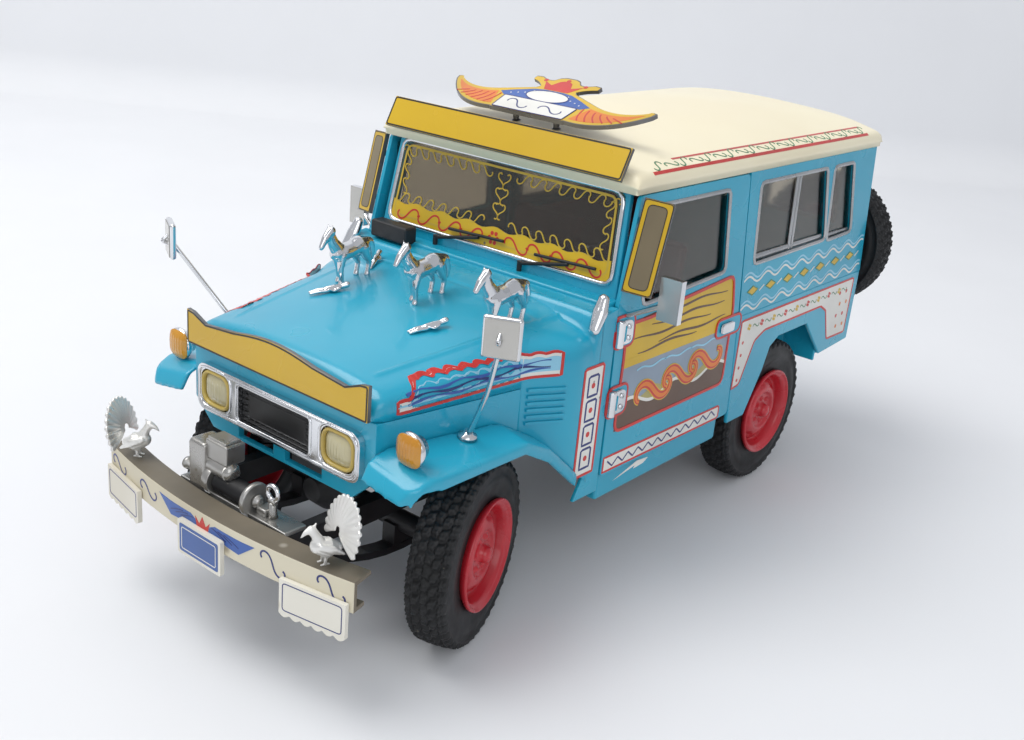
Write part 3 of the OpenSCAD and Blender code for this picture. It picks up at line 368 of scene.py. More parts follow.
def place_wheel(verts, node, roll):
    """Wheel made on the +X side at the origin, rolled about its axle and put at the node."""
    c, s = np.cos(roll), np.sin(roll)
    p = verts @ np.array([[1, 0, 0], [0, c, s], [0, -s, c]])
    low, high = station(node)
    middle = (low + high) / 2
    if node.startswith("spare"):
        return np.stack([-p[:, 1], p[:, 0], p[:, 2]], -1) + [middle[0], spare_plane, middle[2]]
    side_sign = 1 if node.startswith("left") else -1
    p = p * [side_sign, side_sign, 1]
    p = p + [side_sign * wheel_x, 0, 0]
    if "front" in node:
        hinge = np.array([side_sign * kingpin[0], 0, 0])
        p = p - hinge
        c, s = np.cos(wheel_turn), np.sin(wheel_turn)
        p = np.stack([p[:, 0] * c - p[:, 1] * s, p[:, 0] * s + p[:, 1] * c, p[:, 2]], -1) + hinge
        return p + [0, front_axle_y, axle_z]
    return p + [0, rear_axle_y, axle_z]


rubber = finish("tyre_rubber", (0.014, 0.0145, 0.016), (0.008, 0.0085, 0.009), grain=450, rough=0.55,
                rough_spread=0.2, bump=0.03, specks=0.55, speck_colour=(0.12, 0.105, 0.08))
wheel_red = finish("wheel_red", (0.56, 0.022, 0.035), (0.43, 0.014, 0.024), grain=260, rough=0.3,
                   rough_spread=0.14, bump=0.015, coat=0.25, specks=0.3, speck_colour=(0.62, 0.3, 0.28))
tyre_verts, tyre_faces = tyre_surface()
rim_verts, rim_faces = rim_surface()
for corner, body, roll in (("left_front", "left_front_wheel", 0.4),
                           ("right_front", "right_front_wheel", 1.1), ("left_rear", "left_rear_wheel", 0.2),
                           ("right_rear", "right_rear_wheel", 0.9), ("spare", "vehicle", 0.7)):
    tyre = mesh_piece(corner + "_tread", place_wheel(tyre_verts, corner + "_tyre", roll), tyre_faces,
                      [rubber])
    rim = mesh_piece(corner + "_wheel", place_wheel(rim_verts, corner + "_rim", roll), rim_faces,
                     [wheel_red])
    for piece, node, slot in ((tyre, "_tyre", "tyre_rubber"), (rim, "_rim", "wheel_red")):
        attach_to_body(piece, body)
        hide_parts(corner + node)
    weld = rim.modifiers.new("poles", "WELD")
    weld.merge_threshold = 0.002 * MM


# ---- Body shell ----
# Styrene walls, doors, cowl, wings and engine-bay sides glued up and sprayed gloss turquoise.
# Corners are softened by the moulding and the paint; the doors and the hood are glued shut.

turquoise = finish("turquoise_enamel", (0.016, 0.375, 0.545), (0.012, 0.325, 0.49), grain=110, rough=0.3,
                   rough_spread=0.12, bump=0.012, coat=0.35, specks=0.42, speck_colour=(0.05, 0.09, 0.1))
for node, width in (("rear_tub", 0.3), ("cowl", 0.25), ("left_door", 0.22), ("right_door", 0.22),
                    ("hardtop_sides", 0.25), ("rear_panel", 0.2), ("rear_doors", 0.2),
                    ("windshield_frame", 0.35), ("nose_panel", 0.35), ("running_boards", 0.7)):
    rounded_copy(node, [turquoise], width)

sill_high = station("running_boards")[1]
tub_high = station("rear_tub")[1]
side_low = station("hardtop_sides")[0]
half_w = tub_high[0]
belt_z = side_low[2]
lean = 1.2 / 31.5


def side_x(z):
    """Outer face of the side wall at height z: upright to the belt line, then leaning in."""
    return half_w - lean * np.maximum(0, z - belt_z)


# ---- Hood ----
# One moulding with a crowned top, rounded shoulders and a turned-down nose.
# A fine raised rib runs back along each shoulder and a shallow panel line crosses near the cowl.

hood_low, hood_high = station("hood")
grille_low, grille_high = station("grille_bezel")
nose_y = hood_low[1]
nose_half = (grille_high[0] - grille_low[0]) / 2 + 2.2


def hood_surface(rows=72, cols=97):
    """Section of the hood, half width w and crown height h, both growing linearly to the rear:
    a superellipse of exponent 5 over the seam, rolled down at the nose on a quarter circle."""
    rear_half, seam_z = hood_high[0], hood_low[2]
    front_h, rear_h = 5.75, hood_high[2] - seam_z + 0.05
    roll = 2.6
    turn = np.linspace(0, np.pi / 2, 12)
    length = hood_high[1] - nose_y
    v = np.concatenate([roll * (1 - np.cos(turn)), np.linspace(roll, length, rows)[1:]])
    drop = np.concatenate([roll * (1 - np.sin(turn)), np.zeros(rows - 1)])
    t = v / length
    w = nose_half + (rear_half - nose_half) * t
    h = front_h + (rear_h - front_h) * t
    a = np.linspace(0, np.pi, cols)
    c = np.cos(a)
    n = 5.2
    cx = np.sign(c) * np.abs(c) ** (2 / n)
    cz = np.abs(np.sin(a)) ** (2 / n)
    X = (w - drop * 0.5)[:, None] * (cx * (1 - 0.075 * cz ** 6))[None, :]
    crown = 0.9 * (1 - (X / (w * 0.8)[:, None]) ** 2).clip(0) * cz[None, :] ** 4
    Z = seam_z + (h - 0.8 - drop)[:, None] * cz[None, :] + crown
    rib = np.abs(np.abs(X) - (w - 6.2)[:, None])
    top = (cz > 0.9)[None, :] * (v > 5)[:, None]
    Z = Z + 0.28 * top * (1 - step(rib, 0.32, 0.4))
    Z = Z - 0.2 * top * (1 - step(np.abs(v - (length - 6.0)), 0.18, 0.2))[:, None]
    Y = np.repeat((nose_y + v)[:, None], cols, axis=1)
    return X, Y, Z


hood_x, hood_y, hood_z = hood_surface()
front = np.stack([hood_x[0], np.full_like(hood_x[0], nose_y), np.full_like(hood_x[0], hood_low[2])], -1)
hood_verts = np.concatenate([front[None], np.stack([hood_x, hood_y, hood_z], -1)]).reshape(-1, 3)
hood = mesh_piece("hood_panel", hood_verts, grid_faces(hood_x.shape[0] + 1, hood_x.shape[1]), [turquoise])
thick = hood.modifiers.new("thickness", "SOLIDIFY")
thick.thickness = 0.9 * MM
thick.offset = -1
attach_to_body(hood, "vehicle")
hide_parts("hood")


def hood_height(x, y):
    """Height of the hood's top at (x, y), read off the same surface."""
    row = np.abs(hood_y[:, 0] - y).argmin()
    order = np.argsort(hood_x[row])
    return float(np.interp(x, hood_x[row][order], hood_z[row][order]))


# ---- Front wings ----
# Flat-topped wings that slope outwards, roll over at the front and run down to the sill behind the tyre.

wing_high = station("front_fenders")[1]
wings = rounded_copy("front_fenders", [turquoise], 0.3, segments=1, angle=20)
while wings.modifiers:
    wings.modifiers.remove(wings.modifiers[0])
fuse = wings.modifiers.new("fuse", "REMESH")
fuse.mode = "VOXEL"
fuse.voxel_size = 0.34 * MM
fuse.use_smooth_shade = True
soft = wings.modifiers.new("soft", "SMOOTH")
soft.factor, soft.iterations = 0.6, 22

# ---- Roof ----
# Cream roof moulding, crowned, with its front sloped down behind the sign and a thin drip edge all round.

roof_low, roof_high = station("roof")


def roof_surface(rows=90, cols=91):
    """Crown: circle of radius 94. Ends: height as a smooth function of y. The two meet by a soft
    minimum, and a superellipse edge brings the rim down to the drip line."""
    y0, y1 = roof_low[1], roof_high[1]
    drip, top = roof_low[2], roof_high[2]
    half = roof_high[0]
    ease = 0.5 - 0.5 * np.cos(np.linspace(0, np.pi, rows))
    y = y0 + (y1 - y0) * (0.45 * ease + 0.55 * np.linspace(0, 1, rows))
    t = np.linspace(-1, 1, cols)
    x = half * np.sign(t) * (1 - (1 - np.abs(t)) ** 1.35)
    Yg, Xg = np.meshgrid(y, x, indexing="ij")
    crown = top - 94.0 + np.sqrt(94.0 ** 2 - Xg ** 2)
    ends = np.interp(Yg, [y0, y0 + 3, y0 + 14, y0 + 40, y1 - 30, y1 - 12, y1 - 3, y1],
                     [drip + 3.6, drip + 5.4, top - 1.6, top + 0.8, top + 0.8, top + 0.2, top - 2.2,
                      drip + 3.4])
    k = 0.9
    soft = -k * np.logaddexp(-crown / k, -ends / k)
    d = np.minimum(np.minimum(half - np.abs(Xg), Yg - y0), y1 - Yg)
    r = 1.5
    edge = 1 - np.sqrt(np.clip(1 - (1 - np.clip(d / r, 0, 1)) ** 2, 0, 1))
    return Xg, Yg, soft - r * edge


roof_x, roof_y, roof_z = roof_surface()
rim_loop = np.concatenate([np.stack([roof_x[0], roof_y[0]], -1)[:-1],
                           np.stack([roof_x[:, -1], roof_y[:, -1]], -1)[:-1],
                           np.stack([roof_x[-1], roof_y[-1]], -1)[:0:-1],
                           np.stack([roof_x[:, 0], roof_y[:, 0]], -1)[:0:-1]])
rows_r, cols_r = roof_x.shape
index = np.arange(rows_r * cols_r).reshape(rows_r, cols_r)
rim_index = np.concatenate([index[0, :-1], index[:-1, -1], index[-1, :0:-1], index[:0:-1, 0]])
skirt_z = np.array([roof_low[2] + 1.1, roof_low[2] + 0.95, roof_low[2]])
skirt_in = np.array([0.0, 0.35, 0.35])
centre = np.array([0.0, (roof_low[1] + roof_high[1]) / 2])
half_box = np.array([roof_high[0], (roof_high[1] - roof_low[1]) / 2])
skirt = [np.column_stack([centre + (rim_loop - centre) * (1 - i / half_box), np.full(len(rim_loop), z)])
         for z, i in zip(skirt_z, skirt_in)]
roof_verts = np.concatenate([np.stack([roof_x, roof_y, roof_z], -1).reshape(-1, 3), *skirt])
roof_faces = grid_faces(rows_r, cols_r)[:, ::-1].tolist()
loops = [rim_index] + [rows_r * cols_r + k * len(rim_loop) + np.arange(len(rim_loop)) for k in range(3)]
for upper, lower in zip(loops[:-1], loops[1:]):
    roof_faces += np.stack([upper, lower, np.roll(lower, -1), np.roll(upper, -1)], -1).tolist()
cream = finish("cream_enamel", (0.92, 0.845, 0.62), (0.88, 0.79, 0.56), grain=70, rough=0.4, bump=0.012,
               coat=0.15, specks=0.35, speck_colour=(0.3, 0.24, 0.14))
roof = mesh_piece("roof_panel", roof_verts, roof_faces, [cream])
thick = roof.modifiers.new("thickness", "SOLIDIFY")
thick.thickness = 0.9 * MM
thick.offset = -1
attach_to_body(roof, "vehicle")
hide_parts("roof")

# ---- Windows and seats ----
# Clear styrene panes with the grey cast of age behind the walls; dull red seats and benches inside.

clear = finish("clear_pane", (0.62, 0.58, 0.5), (0.56, 0.52, 0.45), grain=40, rough=0.06, rough_spread=0.06,
               bump=0.0, transmission=1.0, ior=1.5)
dress("window_glass", clear)
seat_red = finish("seat_red", (0.24, 0.035, 0.045), (0.17, 0.024, 0.03), grain=300, rough=0.6, bump=0.04)
for node in ("front_seats", "rear_benches"):
    rounded_copy(node, [seat_red], 0.6, segments=3)
red_lens = finish("red_lens", (0.45, 0.012, 0.012), (0.34, 0.008, 0.008), grain=300, rough=0.15, coat=0.6,
                  bump=0.05)
rounded_copy("tail_lamps", [red_lens], 0.5, segments=3)


# ---- Grille and lamps ----
# A plated bezel with two squarish headlamps set in rings and a black ribbed grille between them;
# amber indicators stand on the wings on short posts.

def by_direction(piece, direction, index, least=0.8):
    """Faces whose normal points along `direction` take material number `index`."""
    mesh = piece.data
    normals = np.empty(len(mesh.polygons) * 3, np.float32)
    mesh.polygons.foreach_get("normal", normals)
    facing = normals.reshape(-1, 3) @ np.asarray(direction, float) > least
    now = np.empty(len(mesh.polygons), np.int32)
    mesh.polygons.foreach_get("material_index", now)
    now[facing] = index
    mesh.polygons.foreach_set("material_index", now)


def attach(piece, body, slot, *nodes):
    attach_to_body(piece, body)
    if nodes:
        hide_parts(*nodes)
    return piece


def join_parts(parts):
    """Stack of (verts, faces) pairs as one pair."""
    verts, faces, base = [], [], 0
    for v, f in parts:
        verts.append(np.asarray(v, float))
        faces += [[base + int(i) for i in face] for face in f]
        base += len(v)
    return np.concatenate(verts), faces


def unit(v):
    v = np.asarray(v, float)
    return v / np.maximum(np.linalg.norm(v, axis=-1, keepdims=True), 1e-9)


def bead(path, normals, profile, closed=True):
    """Closed profile of (sideways, outwards) points carried along a path; sideways is the
    cross product of the surface normal and the path's direction."""
    path = np.asarray(path, float)
    n = unit(np.broadcast_to(normals, path.shape))
    if closed:
        t = unit(np.roll(path, -1, 0) - np.roll(path, 1, 0))
    else:
        t = unit(np.gradient(path, axis=0))
    side = unit(np.cross(n, t))
    prof = np.asarray(profile, float)
    verts = path[:, None] + side[:, None] * prof[None, :, :1] + n[:, None] * prof[None, :, 1:]
    faces = grid_faces(len(path), len(prof), close_rows=closed, close_cols=True).tolist()
    if not closed:
        m = len(prof)
        faces += [list(range(m)), list(range((len(path) - 1) * m, len(path) * m))[::-1]]
    return verts.reshape(-1, 3), faces


def half_round(width, height, sink=0.15, n=7):
    """Half-ellipse section, sunk a little into the surface it lies on."""
    a = np.linspace(0, np.pi, n)
    arc = np.column_stack([width / 2 * np.cos(a), height * np.sin(a)])
    return np.vstack([arc, [[-width / 2, -sink], [width / 2, -sink]]])


def round_outline(points, radius, steps=6):
    """Polygon in the plane with each corner turned on an arc of `radius`."""
    p = np.asarray(points, float)
    out = []
    for a, b, c in zip(np.roll(p, 1, 0), p, np.roll(p, -1, 0)):
        u, v = unit(a - b), unit(c - b)
        half = np.arccos(np.clip(u @ v, -1, 1)) / 2
        reach = min(radius / np.tan(half), 0.45 * min(np.linalg.norm(a - b), np.linalg.norm(c - b)))
        s = np.linspace(0, 1, steps)[:, None]
        p0, p1 = b + u * reach, b + v * reach
        out.append((1 - s) ** 2 * p0 + 2 * s * (1 - s) * b + s ** 2 * p1)
    return np.concatenate(out)


chrome = finish("plated_chrome", (0.80, 0.81, 0.83), (0.66, 0.67, 0.69), grain=260, rough=0.13,
                rough_spread=0.12, metal=1.0, bump=0.02, specks=0.35, speck_colour=(0.3, 0.27, 0.22))
grille_black = finish("grille_black", (0.012, 0.012, 0.013), (0.007, 0.007, 0.007), grain=400, rough=0.35,
                      bump=0.02)
lens_cream = finish("lamp_lens", (0.52, 0.47, 0.28), (0.40, 0.36, 0.22), grain=120, rough=0.12,
                    rough_spread=0.1, coat=0.8, bump=0.03)
lens_ring = finish("lens_glue", (0.56, 0.42, 0.10), (0.42, 0.30, 0.07), grain=240, rough=0.3, coat=0.3)
amber = finish("amber_lens", (0.66, 0.31, 0.012), (0.50, 0.21, 0.008), grain=180, rough=0.12, coat=0.8,
               bump=0.05)
rounded_copy("grille_bezel", [chrome], 0.35, segments=3)
mesh_low, mesh_high = station("grille_mesh")
gx = np.linspace(mesh_low[0] + 0.1, mesh_high[0] - 0.1, 148)
gz = np.linspace(mesh_low[2] + 0.1, mesh_high[2] - 0.1, 60)
GX, GZ = np.meshgrid(gx, gz, indexing="ij")
bars = np.maximum(step(np.cos(GZ * 2 * np.pi / 1.1), 0.35, 0.5),
                  0.8 * step(np.cos(GX * 2 * np.pi / 1.5), 0.8, 0.2))
plain = step(0.5, np.maximum(np.abs(GX + 0.3) - 6.9, np.abs(GZ - gz.mean()) - 1.55), 0.3)
GY = mesh_low[1] + 0.42 - 0.42 * np.maximum(bars, plain)
front_grid = np.stack([GX, GY, GZ], -1).reshape(-1, 3)
grille = mesh_piece("grille_ribs", front_grid, grid_faces(148, 60)[:, ::-1], [grille_black])
thick = grille.modifiers.new("thickness", "SOLIDIFY")
thick.thickness = 0.4 * MM
thick.offset = -1
attach(grille, "vehicle", "black_plastic", "grille_mesh")
lamp_low, lamp_high = station("headlamps")
lamp_z = (lamp_low[2] + lamp_high[2]) / 2
lamp_half = (lamp_high[2] - lamp_low[2]) / 2
lamp_x = lamp_high[0] - 3.8


def lens_surface(cx, cz, hx, hz, y_rim, y_front, power=3.4, rings=22, around=96):
    """Superellipse outline of exponent `power`, filled with rings that bulge forwards on a parabola
    and carry fine upright flutes."""
    a = np.linspace(0, 2 * np.pi, around, endpoint=False)
    ex = np.sign(np.cos(a)) * np.abs(np.cos(a)) ** (2 / power)
    ez = np.sign(np.sin(a)) * np.abs(np.sin(a)) ** (2 / power)
    rho = np.linspace(1, 0.004, rings)[:, None]
    X = cx + hx * rho * ex
    Z = cz + hz * rho * ez
    Y = y_rim + (y_front - y_rim) * (1 - rho ** 3) + 0.035 * np.cos((X - cx) * 9) * (rho < 0.8)
    back = np.stack([X[0], np.full(around, y_rim + 0.3), Z[0]], -1)
    verts = np.concatenate([back, np.stack([X, Y + np.zeros_like(X), Z], -1).reshape(-1, 3)])
    faces = grid_faces(rings + 1, around, close_cols=True).tolist()
    faces += [list(range(around)), list(range(rings * around, (rings + 1) * around))[::-1]]
    return verts, faces


lens_parts, rim_parts = [], []
for s in (-1, 1):
    lens_parts.append(lens_surface(s * lamp_x, lamp_z, 3.3, lamp_half - 0.35, lamp_high[1] - 0.35,
                                   lamp_low[1] + 0.02))
    loop = round_outline([(-3.55, -3.0), (3.55, -3.0), (3.55, 3.0), (-3.55, 3.0)], 2.3)
    path = np.column_stack([s * lamp_x + loop[:, 0], np.full(len(loop), lamp_high[1] - 0.55),
                            lamp_z + loop[:, 1]])
    rim_parts.append(bead(path, (0, -1, 0), half_round(0.75, 0.55)))
lenses = mesh_piece("lamp_lenses", *join_parts(lens_parts), [lens_cream])
attach(lenses, "vehicle", "lamp_lens", "headlamps")
attach(mesh_piece("lamp_rings", *join_parts(rim_parts), [lens_ring]), "vehicle", "lamp_lens")
surround = []
for x0, x1, z0, z1, r in ((-grille_high[0] + 0.5, grille_high[0] - 0.5, grille_low[2] + 0.5,
                           grille_high[2] - 0.5, 2.2),
                          (-9.9, 9.3, grille_low[2] + 0.9, grille_high[2] - 0.9, 1.0),
                          (-lamp_x - 4.4, -lamp_x + 4.3, lamp_z - 3.75, lamp_z + 3.75, 2.2),
                          (lamp_x - 4.3, lamp_x + 4.4, lamp_z - 3.75, lamp_z + 3.75, 2.2)):
    loop = round_outline([(x0, z0), (x1, z0), (x1, z1), (x0, z1)], r)
    path = np.column_stack([loop[:, 0], np.full(len(loop), grille_low[1] + 0.05), loop[:, 1]])
    surround.append(bead(path, (0, -1, 0), half_round(0.55, 0.3)))
attach(mesh_piece("bezel_mouldings", *join_parts(surround), [chrome]), "vehicle", "chrome_plate")

def turned(profile, start, end, around=40):
    """Profile of (distance along, radius) pairs turned about the line from start to end."""
    start, end = np.asarray(start, float), np.asarray(end, float)
    axis = unit(end - start)
    ref = np.array([0, 0, 1.0]) if abs(axis[2]) < 0.9 else np.array([0, 1.0, 0])
    u = unit(np.cross(axis, ref))
    v = np.cross(axis, u)
    prof = np.asarray(profile, float)
    a = np.linspace(0, 2 * np.pi, around, endpoint=False)
    ring = np.cos(a)[:, None] * u + np.sin(a)[:, None] * v
    verts = start + prof[:, None, :1] * axis + prof[:, None, 1:] * ring[None]
    faces = grid_faces(len(prof), around, close_cols=True).tolist()
    faces += [list(range(around))[::-1], list(range((len(prof) - 1) * around, len(prof) * around))]
    return verts.reshape(-1, 3), faces


ind_low, ind_high = station("indicators")
ind_x, ind_z = ind_high[0] - 2.77, ind_high[2] - 2.77
amber_parts, cup_parts = [], []
cup = [(0, 2.45), (0.25, 2.95), (0.8, 3.0), (1.4, 2.6), (1.6, 2.0), (2.7, 1.9), (2.9, 1.5)]
for s in (-1, 1):
    front = (s * ind_x, ind_low[1] + 0.65, ind_z)
    amber_parts.append(lens_surface(s * ind_x, ind_z, 2.65, 2.65, ind_low[1] + 0.75, ind_low[1] + 0.02,
                                    power=3.2))
    cup_parts.append(turned(cup, front, (front[0], front[1] + 3, ind_z)))
    cup_parts.append(turned([(0, 0.42), (0.2, 0.5), (3.6, 0.5), (3.9, 0.9), (4.2, 0.9)],
                            (s * ind_x, ind_low[1] + 2.2, ind_z - 1.6),
                            (s * ind_x, ind_low[1] + 2.2, ind_z - 9)))
attach(mesh_piece("indicator_lenses", *join_parts(amber_parts), [amber]), "vehicle", "amber_lens",
       "indicators")
cup_piece = mesh_piece("indicator_cups", *join_parts(cup_parts), [chrome])
attach(cup_piece, "vehicle", "chrome_plate")

# ---- Bumper and its plates ----
# A bowed channel painted cream in front and weathered brown-grey on top, with painted blue scrolls and
# wings, two white hanging plates with scalloped lower edges and a blue one with a white border, all blank.

bumper_cream = finish("bumper_cream", (0.66, 0.61, 0.47), (0.50, 0.44, 0.31), grain=120, rough=0.4,
                      bump=0.03, specks=0.6, speck_colour=(0.16, 0.12, 0.07))
bumper_top = finish("bumper_top", (0.20, 0.17, 0.125), (0.11, 0.095, 0.07), grain=180, rough=0.5, bump=0.05,
                    specks=0.8, speck_colour=(0.35, 0.32, 0.27))
bumper_piece = rounded_copy("front_bumper", [bumper_top, bumper_cream], 0.18)
by_direction(bumper_piece, (0, -1, 0), 1, 0.7)
bumper_low, bumper_high = station("front_bumper")
BOW = 140.0


def on_bumper(p, lift):
    """(x, z) laid on the bumper's bowed face, `lift` proud of it."""
    p = np.asarray(p, float)
    return np.column_stack([p[:, 0], bumper_low[1] + BOW - np.sqrt(BOW ** 2 - p[:, 0] ** 2) - lift, p[:, 1]])


def patch(outline, place, lift, sink=0.02):
    """Thin closed slab: an outline placed on a surface, its front `lift` proud and its back just inside."""
    outline = np.asarray(outline, float)
    n = len(outline)
    verts = np.concatenate([place(outline, lift), place(outline, -sink)])
    i = np.arange(n)
    faces = [list(range(n)), list(range(n, 2 * n))[::-1]]
    faces += np.stack([i, i + n, (i + 1) % n + n, (i + 1) % n], -1).tolist()
    return verts, faces


def ribbon(path, width, place, lift, closed=False, sink=0.02):
    """Painted line: a path in the plane widened to both sides and given the same thin slab section."""
    p = np.asarray(path, float)
    if closed:
        t = unit(np.roll(p, -1, 0) - np.roll(p, 1, 0))
    else:
        t = unit(np.gradient(p, axis=0))
    side = np.column_stack([-t[:, 1], t[:, 0]]) * (np.asarray(width, float) / 2 * np.ones(len(p)))[:, None]
    left, right = p + side, p - side
    rings = np.stack([place(left, lift), place(right, lift), place(right, -sink), place(left, -sink)], 1)
    faces = grid_faces(len(p), 4, close_rows=closed, close_cols=True)[:, ::-1].tolist()
    if not closed:
        faces += [[0, 1, 2, 3], [4 * len(p) - 1, 4 * len(p) - 2, 4 * len(p) - 3, 4 * len(p) - 4]]
    return rings.reshape(-1, 3), faces


def artwork(name, layers, body="vehicle", slot="plate_white"):
    """One object from painted layers: each is (material, list of slabs)."""
    parts, which, used = [], [], []
    for material, slabs in layers:
        if material not in used:
            used.append(material)
        for v, f in slabs:
            parts.append((v, f))
            which += [used.index(material)] * len(f)
    verts, faces = join_parts(parts)
    piece = mesh_piece(name, verts, faces, used, which, smooth=False)
    bm = bmesh.new()
    bm.from_mesh(piece.data)
    bmesh.ops.recalc_face_normals(bm, faces=bm.faces)
    bm.to_mesh(piece.data)
    bm.free()
    return attach(piece, body, slot)


def s_scroll(start, end, curl=5.2, n=44, flip=1):
    """Euler spiral from start to end: the direction grows with the square of the length,
    so the line bends one way and then the other and both ends curl."""
    s = np.linspace(-1, 1, n)
    angle = flip * curl * s ** 2
    p = np.cumsum(np.column_stack([np.cos(angle), np.sin(angle)]), 0)
    p = p - p[0]
    chord, want = p[-1] - p[0], np.asarray(end, float) - start
    k = np.linalg.norm(want) / np.linalg.norm(chord)
    turn = np.arctan2(want[1], want[0]) - np.arctan2(chord[1], chord[0])
    c, si = np.cos(turn) * k, np.sin(turn) * k
    return np.asarray(start) + p @ np.array([[c, si], [-si, c]])


def disc(centre, radius, n=16, squash=1.0):
    a = np.linspace(0, 2 * np.pi, n, endpoint=False)
    return np.column_stack([centre[0] + radius * np.cos(a), centre[1] + radius * squash * np.sin(a)])


def ink(name, colour, **kw):
    """Decal or enamel colour with a little fading."""
    return finish(name, colour, tuple(c * 0.82 for c in colour), grain=220, rough=0.34, bump=0.01, coat=0.2,
                  specks=0.25, speck_colour=(0.12, 0.1, 0.08), **kw)


ink_blue = ink("ink_blue", (0.035, 0.11, 0.40))
ink_navy = ink("ink_navy", (0.018, 0.03, 0.17))
ink_red = ink("ink_red", (0.60, 0.028, 0.022))
ink_white = ink("ink_white", (0.80, 0.79, 0.74))
ink_yellow = ink("ink_yellow", (0.70, 0.45, 0.015))
ink_orange = ink("ink_orange", (0.76, 0.20, 0.012))
ink_black = ink("ink_black", (0.015, 0.015, 0.016))
face_mid = (bumper_low[2] + bumper_high[2]) / 2
blue_marks, red_marks, dark_marks = [], [], []
for s in (-1, 1):
    wing = np.array([(1.5, -0.3), (3.4, -0.2), (6.2, -0.9), (9.0, -1.2), (12.6, 1.5), (9.4, 1.35),
                     (6.0, 1.4), (3.2, 1.5), (1.9, 0.9)])
    blue_marks.append(patch((wing * [s, 1] + [0, face_mid])[::s], on_bumper, 0.05))
    for k in range(3):
        x = np.linspace(2.4 + k * 1.5, 6.0 + k * 1.5, 8)
        z = face_mid + 0.95 - 1.25 * ((x - x[0]) / 4) ** 1.5
        dark_marks.append(ribbon(np.column_stack([s * x, z]), 0.14, on_bumper, 0.08))
    for x0, x1 in ((14.2, 18.6), (25.6, 30.0)):
        dark_marks.append(ribbon(s_scroll((s * x0, face_mid + 0.5), (s * x1, face_mid - 0.3), 3.9), 0.3,
                                 on_bumper, 0.05))
crown = np.array([(-1.2, -1.2), (1.2, -1.2), (1.9, 1.4), (0.85, 0.35), (0, 1.9), (-0.85, 0.35), (-1.9, 1.4)])
red_marks.append(patch(crown + [0, face_mid + 0.1], on_bumper, 0.06))
artwork("bumper_paint", [(ink_blue, blue_marks), (ink_navy, dark_marks), (ink_red, red_marks)],
        slot="bumper_cream")

plate_low = station("bumper_plates")[0]
plate_white = finish("plate_white", (0.80, 0.78, 0.70), (0.66, 0.62, 0.52), grain=90, rough=0.4, bump=0.02,
                     specks=0.5, speck_colour=(0.35, 0.27, 0.16))
plate_blue = ink("plate_blue", (0.05, 0.12, 0.36))


def plate_place(x0):
    """Plane that touches the bumper's bow at x0, its front one board's thickness out."""
    a = np.arcsin(x0 / BOW)
    base_y = bumper_low[1] + BOW - np.sqrt(BOW ** 2 - x0 ** 2)

    def place(p, lift):
        out = 0.8 + lift
        return np.column_stack([x0 + p[:, 0] * np.cos(a) + out * np.sin(a),
                                base_y + p[:, 0] * np.sin(a) - out * np.cos(a), p[:, 1]])
    return place


white_parts, blue_parts, trim_parts, grime_parts = [], [], [], []
for x0 in (-25.0, 25.0):
    u = np.linspace(-6.4, 6.4, 57)
    low = plate_low[2] + 0.55 - 0.55 * np.abs(np.sin((u + 6.4) / 12.8 * np.pi * 6))
    outline = np.vstack([np.column_stack([u, low]), [(6.4, plate_low[2] + 6.6), (-6.4, plate_low[2] + 6.6)]])
    white_parts.append(patch(outline, plate_place(x0), 0.0, sink=0.8))
    inner = round_outline([(-5.7, plate_low[2] + 1.2), (5.7, plate_low[2] + 1.2), (5.7, plate_low[2] + 6.0),
                           (-5.7, plate_low[2] + 6.0)], 0.6)
    trim_parts.append(ribbon(inner, 0.16, plate_place(x0), 0.04, closed=True))
z0, z1 = plate_low[2] + 1.2, plate_low[2] + 7.5
loop = round_outline([(-5.7, z0), (5.7, z0), (5.7, z1), (-5.7, z1)], 0.5)
white_parts.append(patch(loop, plate_place(0.0), 0.0, sink=0.8))
blue_parts.append(patch(round_outline([(-5.1, z0 + 0.6), (5.1, z0 + 0.6), (5.1, z1 - 0.6),
                                       (-5.1, z1 - 0.6)], 0.4), plate_place(0.0), 0.05))
grime_parts.append(ribbon(round_outline([(-4.5, z0 + 1.2), (4.5, z0 + 1.2), (4.5, z1 - 1.2),
                                         (-4.5, z1 - 1.2)], 0.4), 0.16, plate_place(0.0), 0.08,
                          closed=True))
plates = artwork("hanging_plates", [(plate_white, white_parts), (plate_blue, blue_parts),
                                    (ink_navy, trim_parts), (ink_white, grime_parts)])
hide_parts("bumper_plates")


# ---- Winch ----
# Plated electric winch on the frame ends behind the bumper: gear case, motor with a domed cap,
# a black drum wound with cable between two flanges, and a hook ring on its post.

def slab(low, high, r=0.35):
    """Box with its upright edges and its top rim rounded: a rounded outline pushed up in steps."""
    low, high = np.asarray(low, float), np.asarray(high, float)
    c = (low + high) / 2
    hx, hy = (high[0] - low[0]) / 2, (high[1] - low[1]) / 2
    rings = []
    for inset, z in ((r, low[2]), (0.3 * r, low[2] + 0.3 * r), (0, low[2] + r), (0, high[2] - r),
                     (0.3 * r, high[2] - 0.3 * r), (r, high[2])):
        o = round_outline([(-hx + inset, -hy + inset), (hx - inset, -hy + inset), (hx - inset, hy - inset),
                           (-hx + inset, hy - inset)], max(r - inset * 0.6, 0.08), 4)
        rings.append(np.column_stack([c[0] + o[:, 0], c[1] + o[:, 1], np.full(len(o), z)]))
    m = len(rings[0])
    faces = grid_faces(len(rings), m, close_cols=True)[:, ::-1].tolist()
    faces += [list(range(m))[::-1], list(range((len(rings) - 1) * m, len(rings) * m))]
    verts = np.concatenate(rings)
    return verts, faces


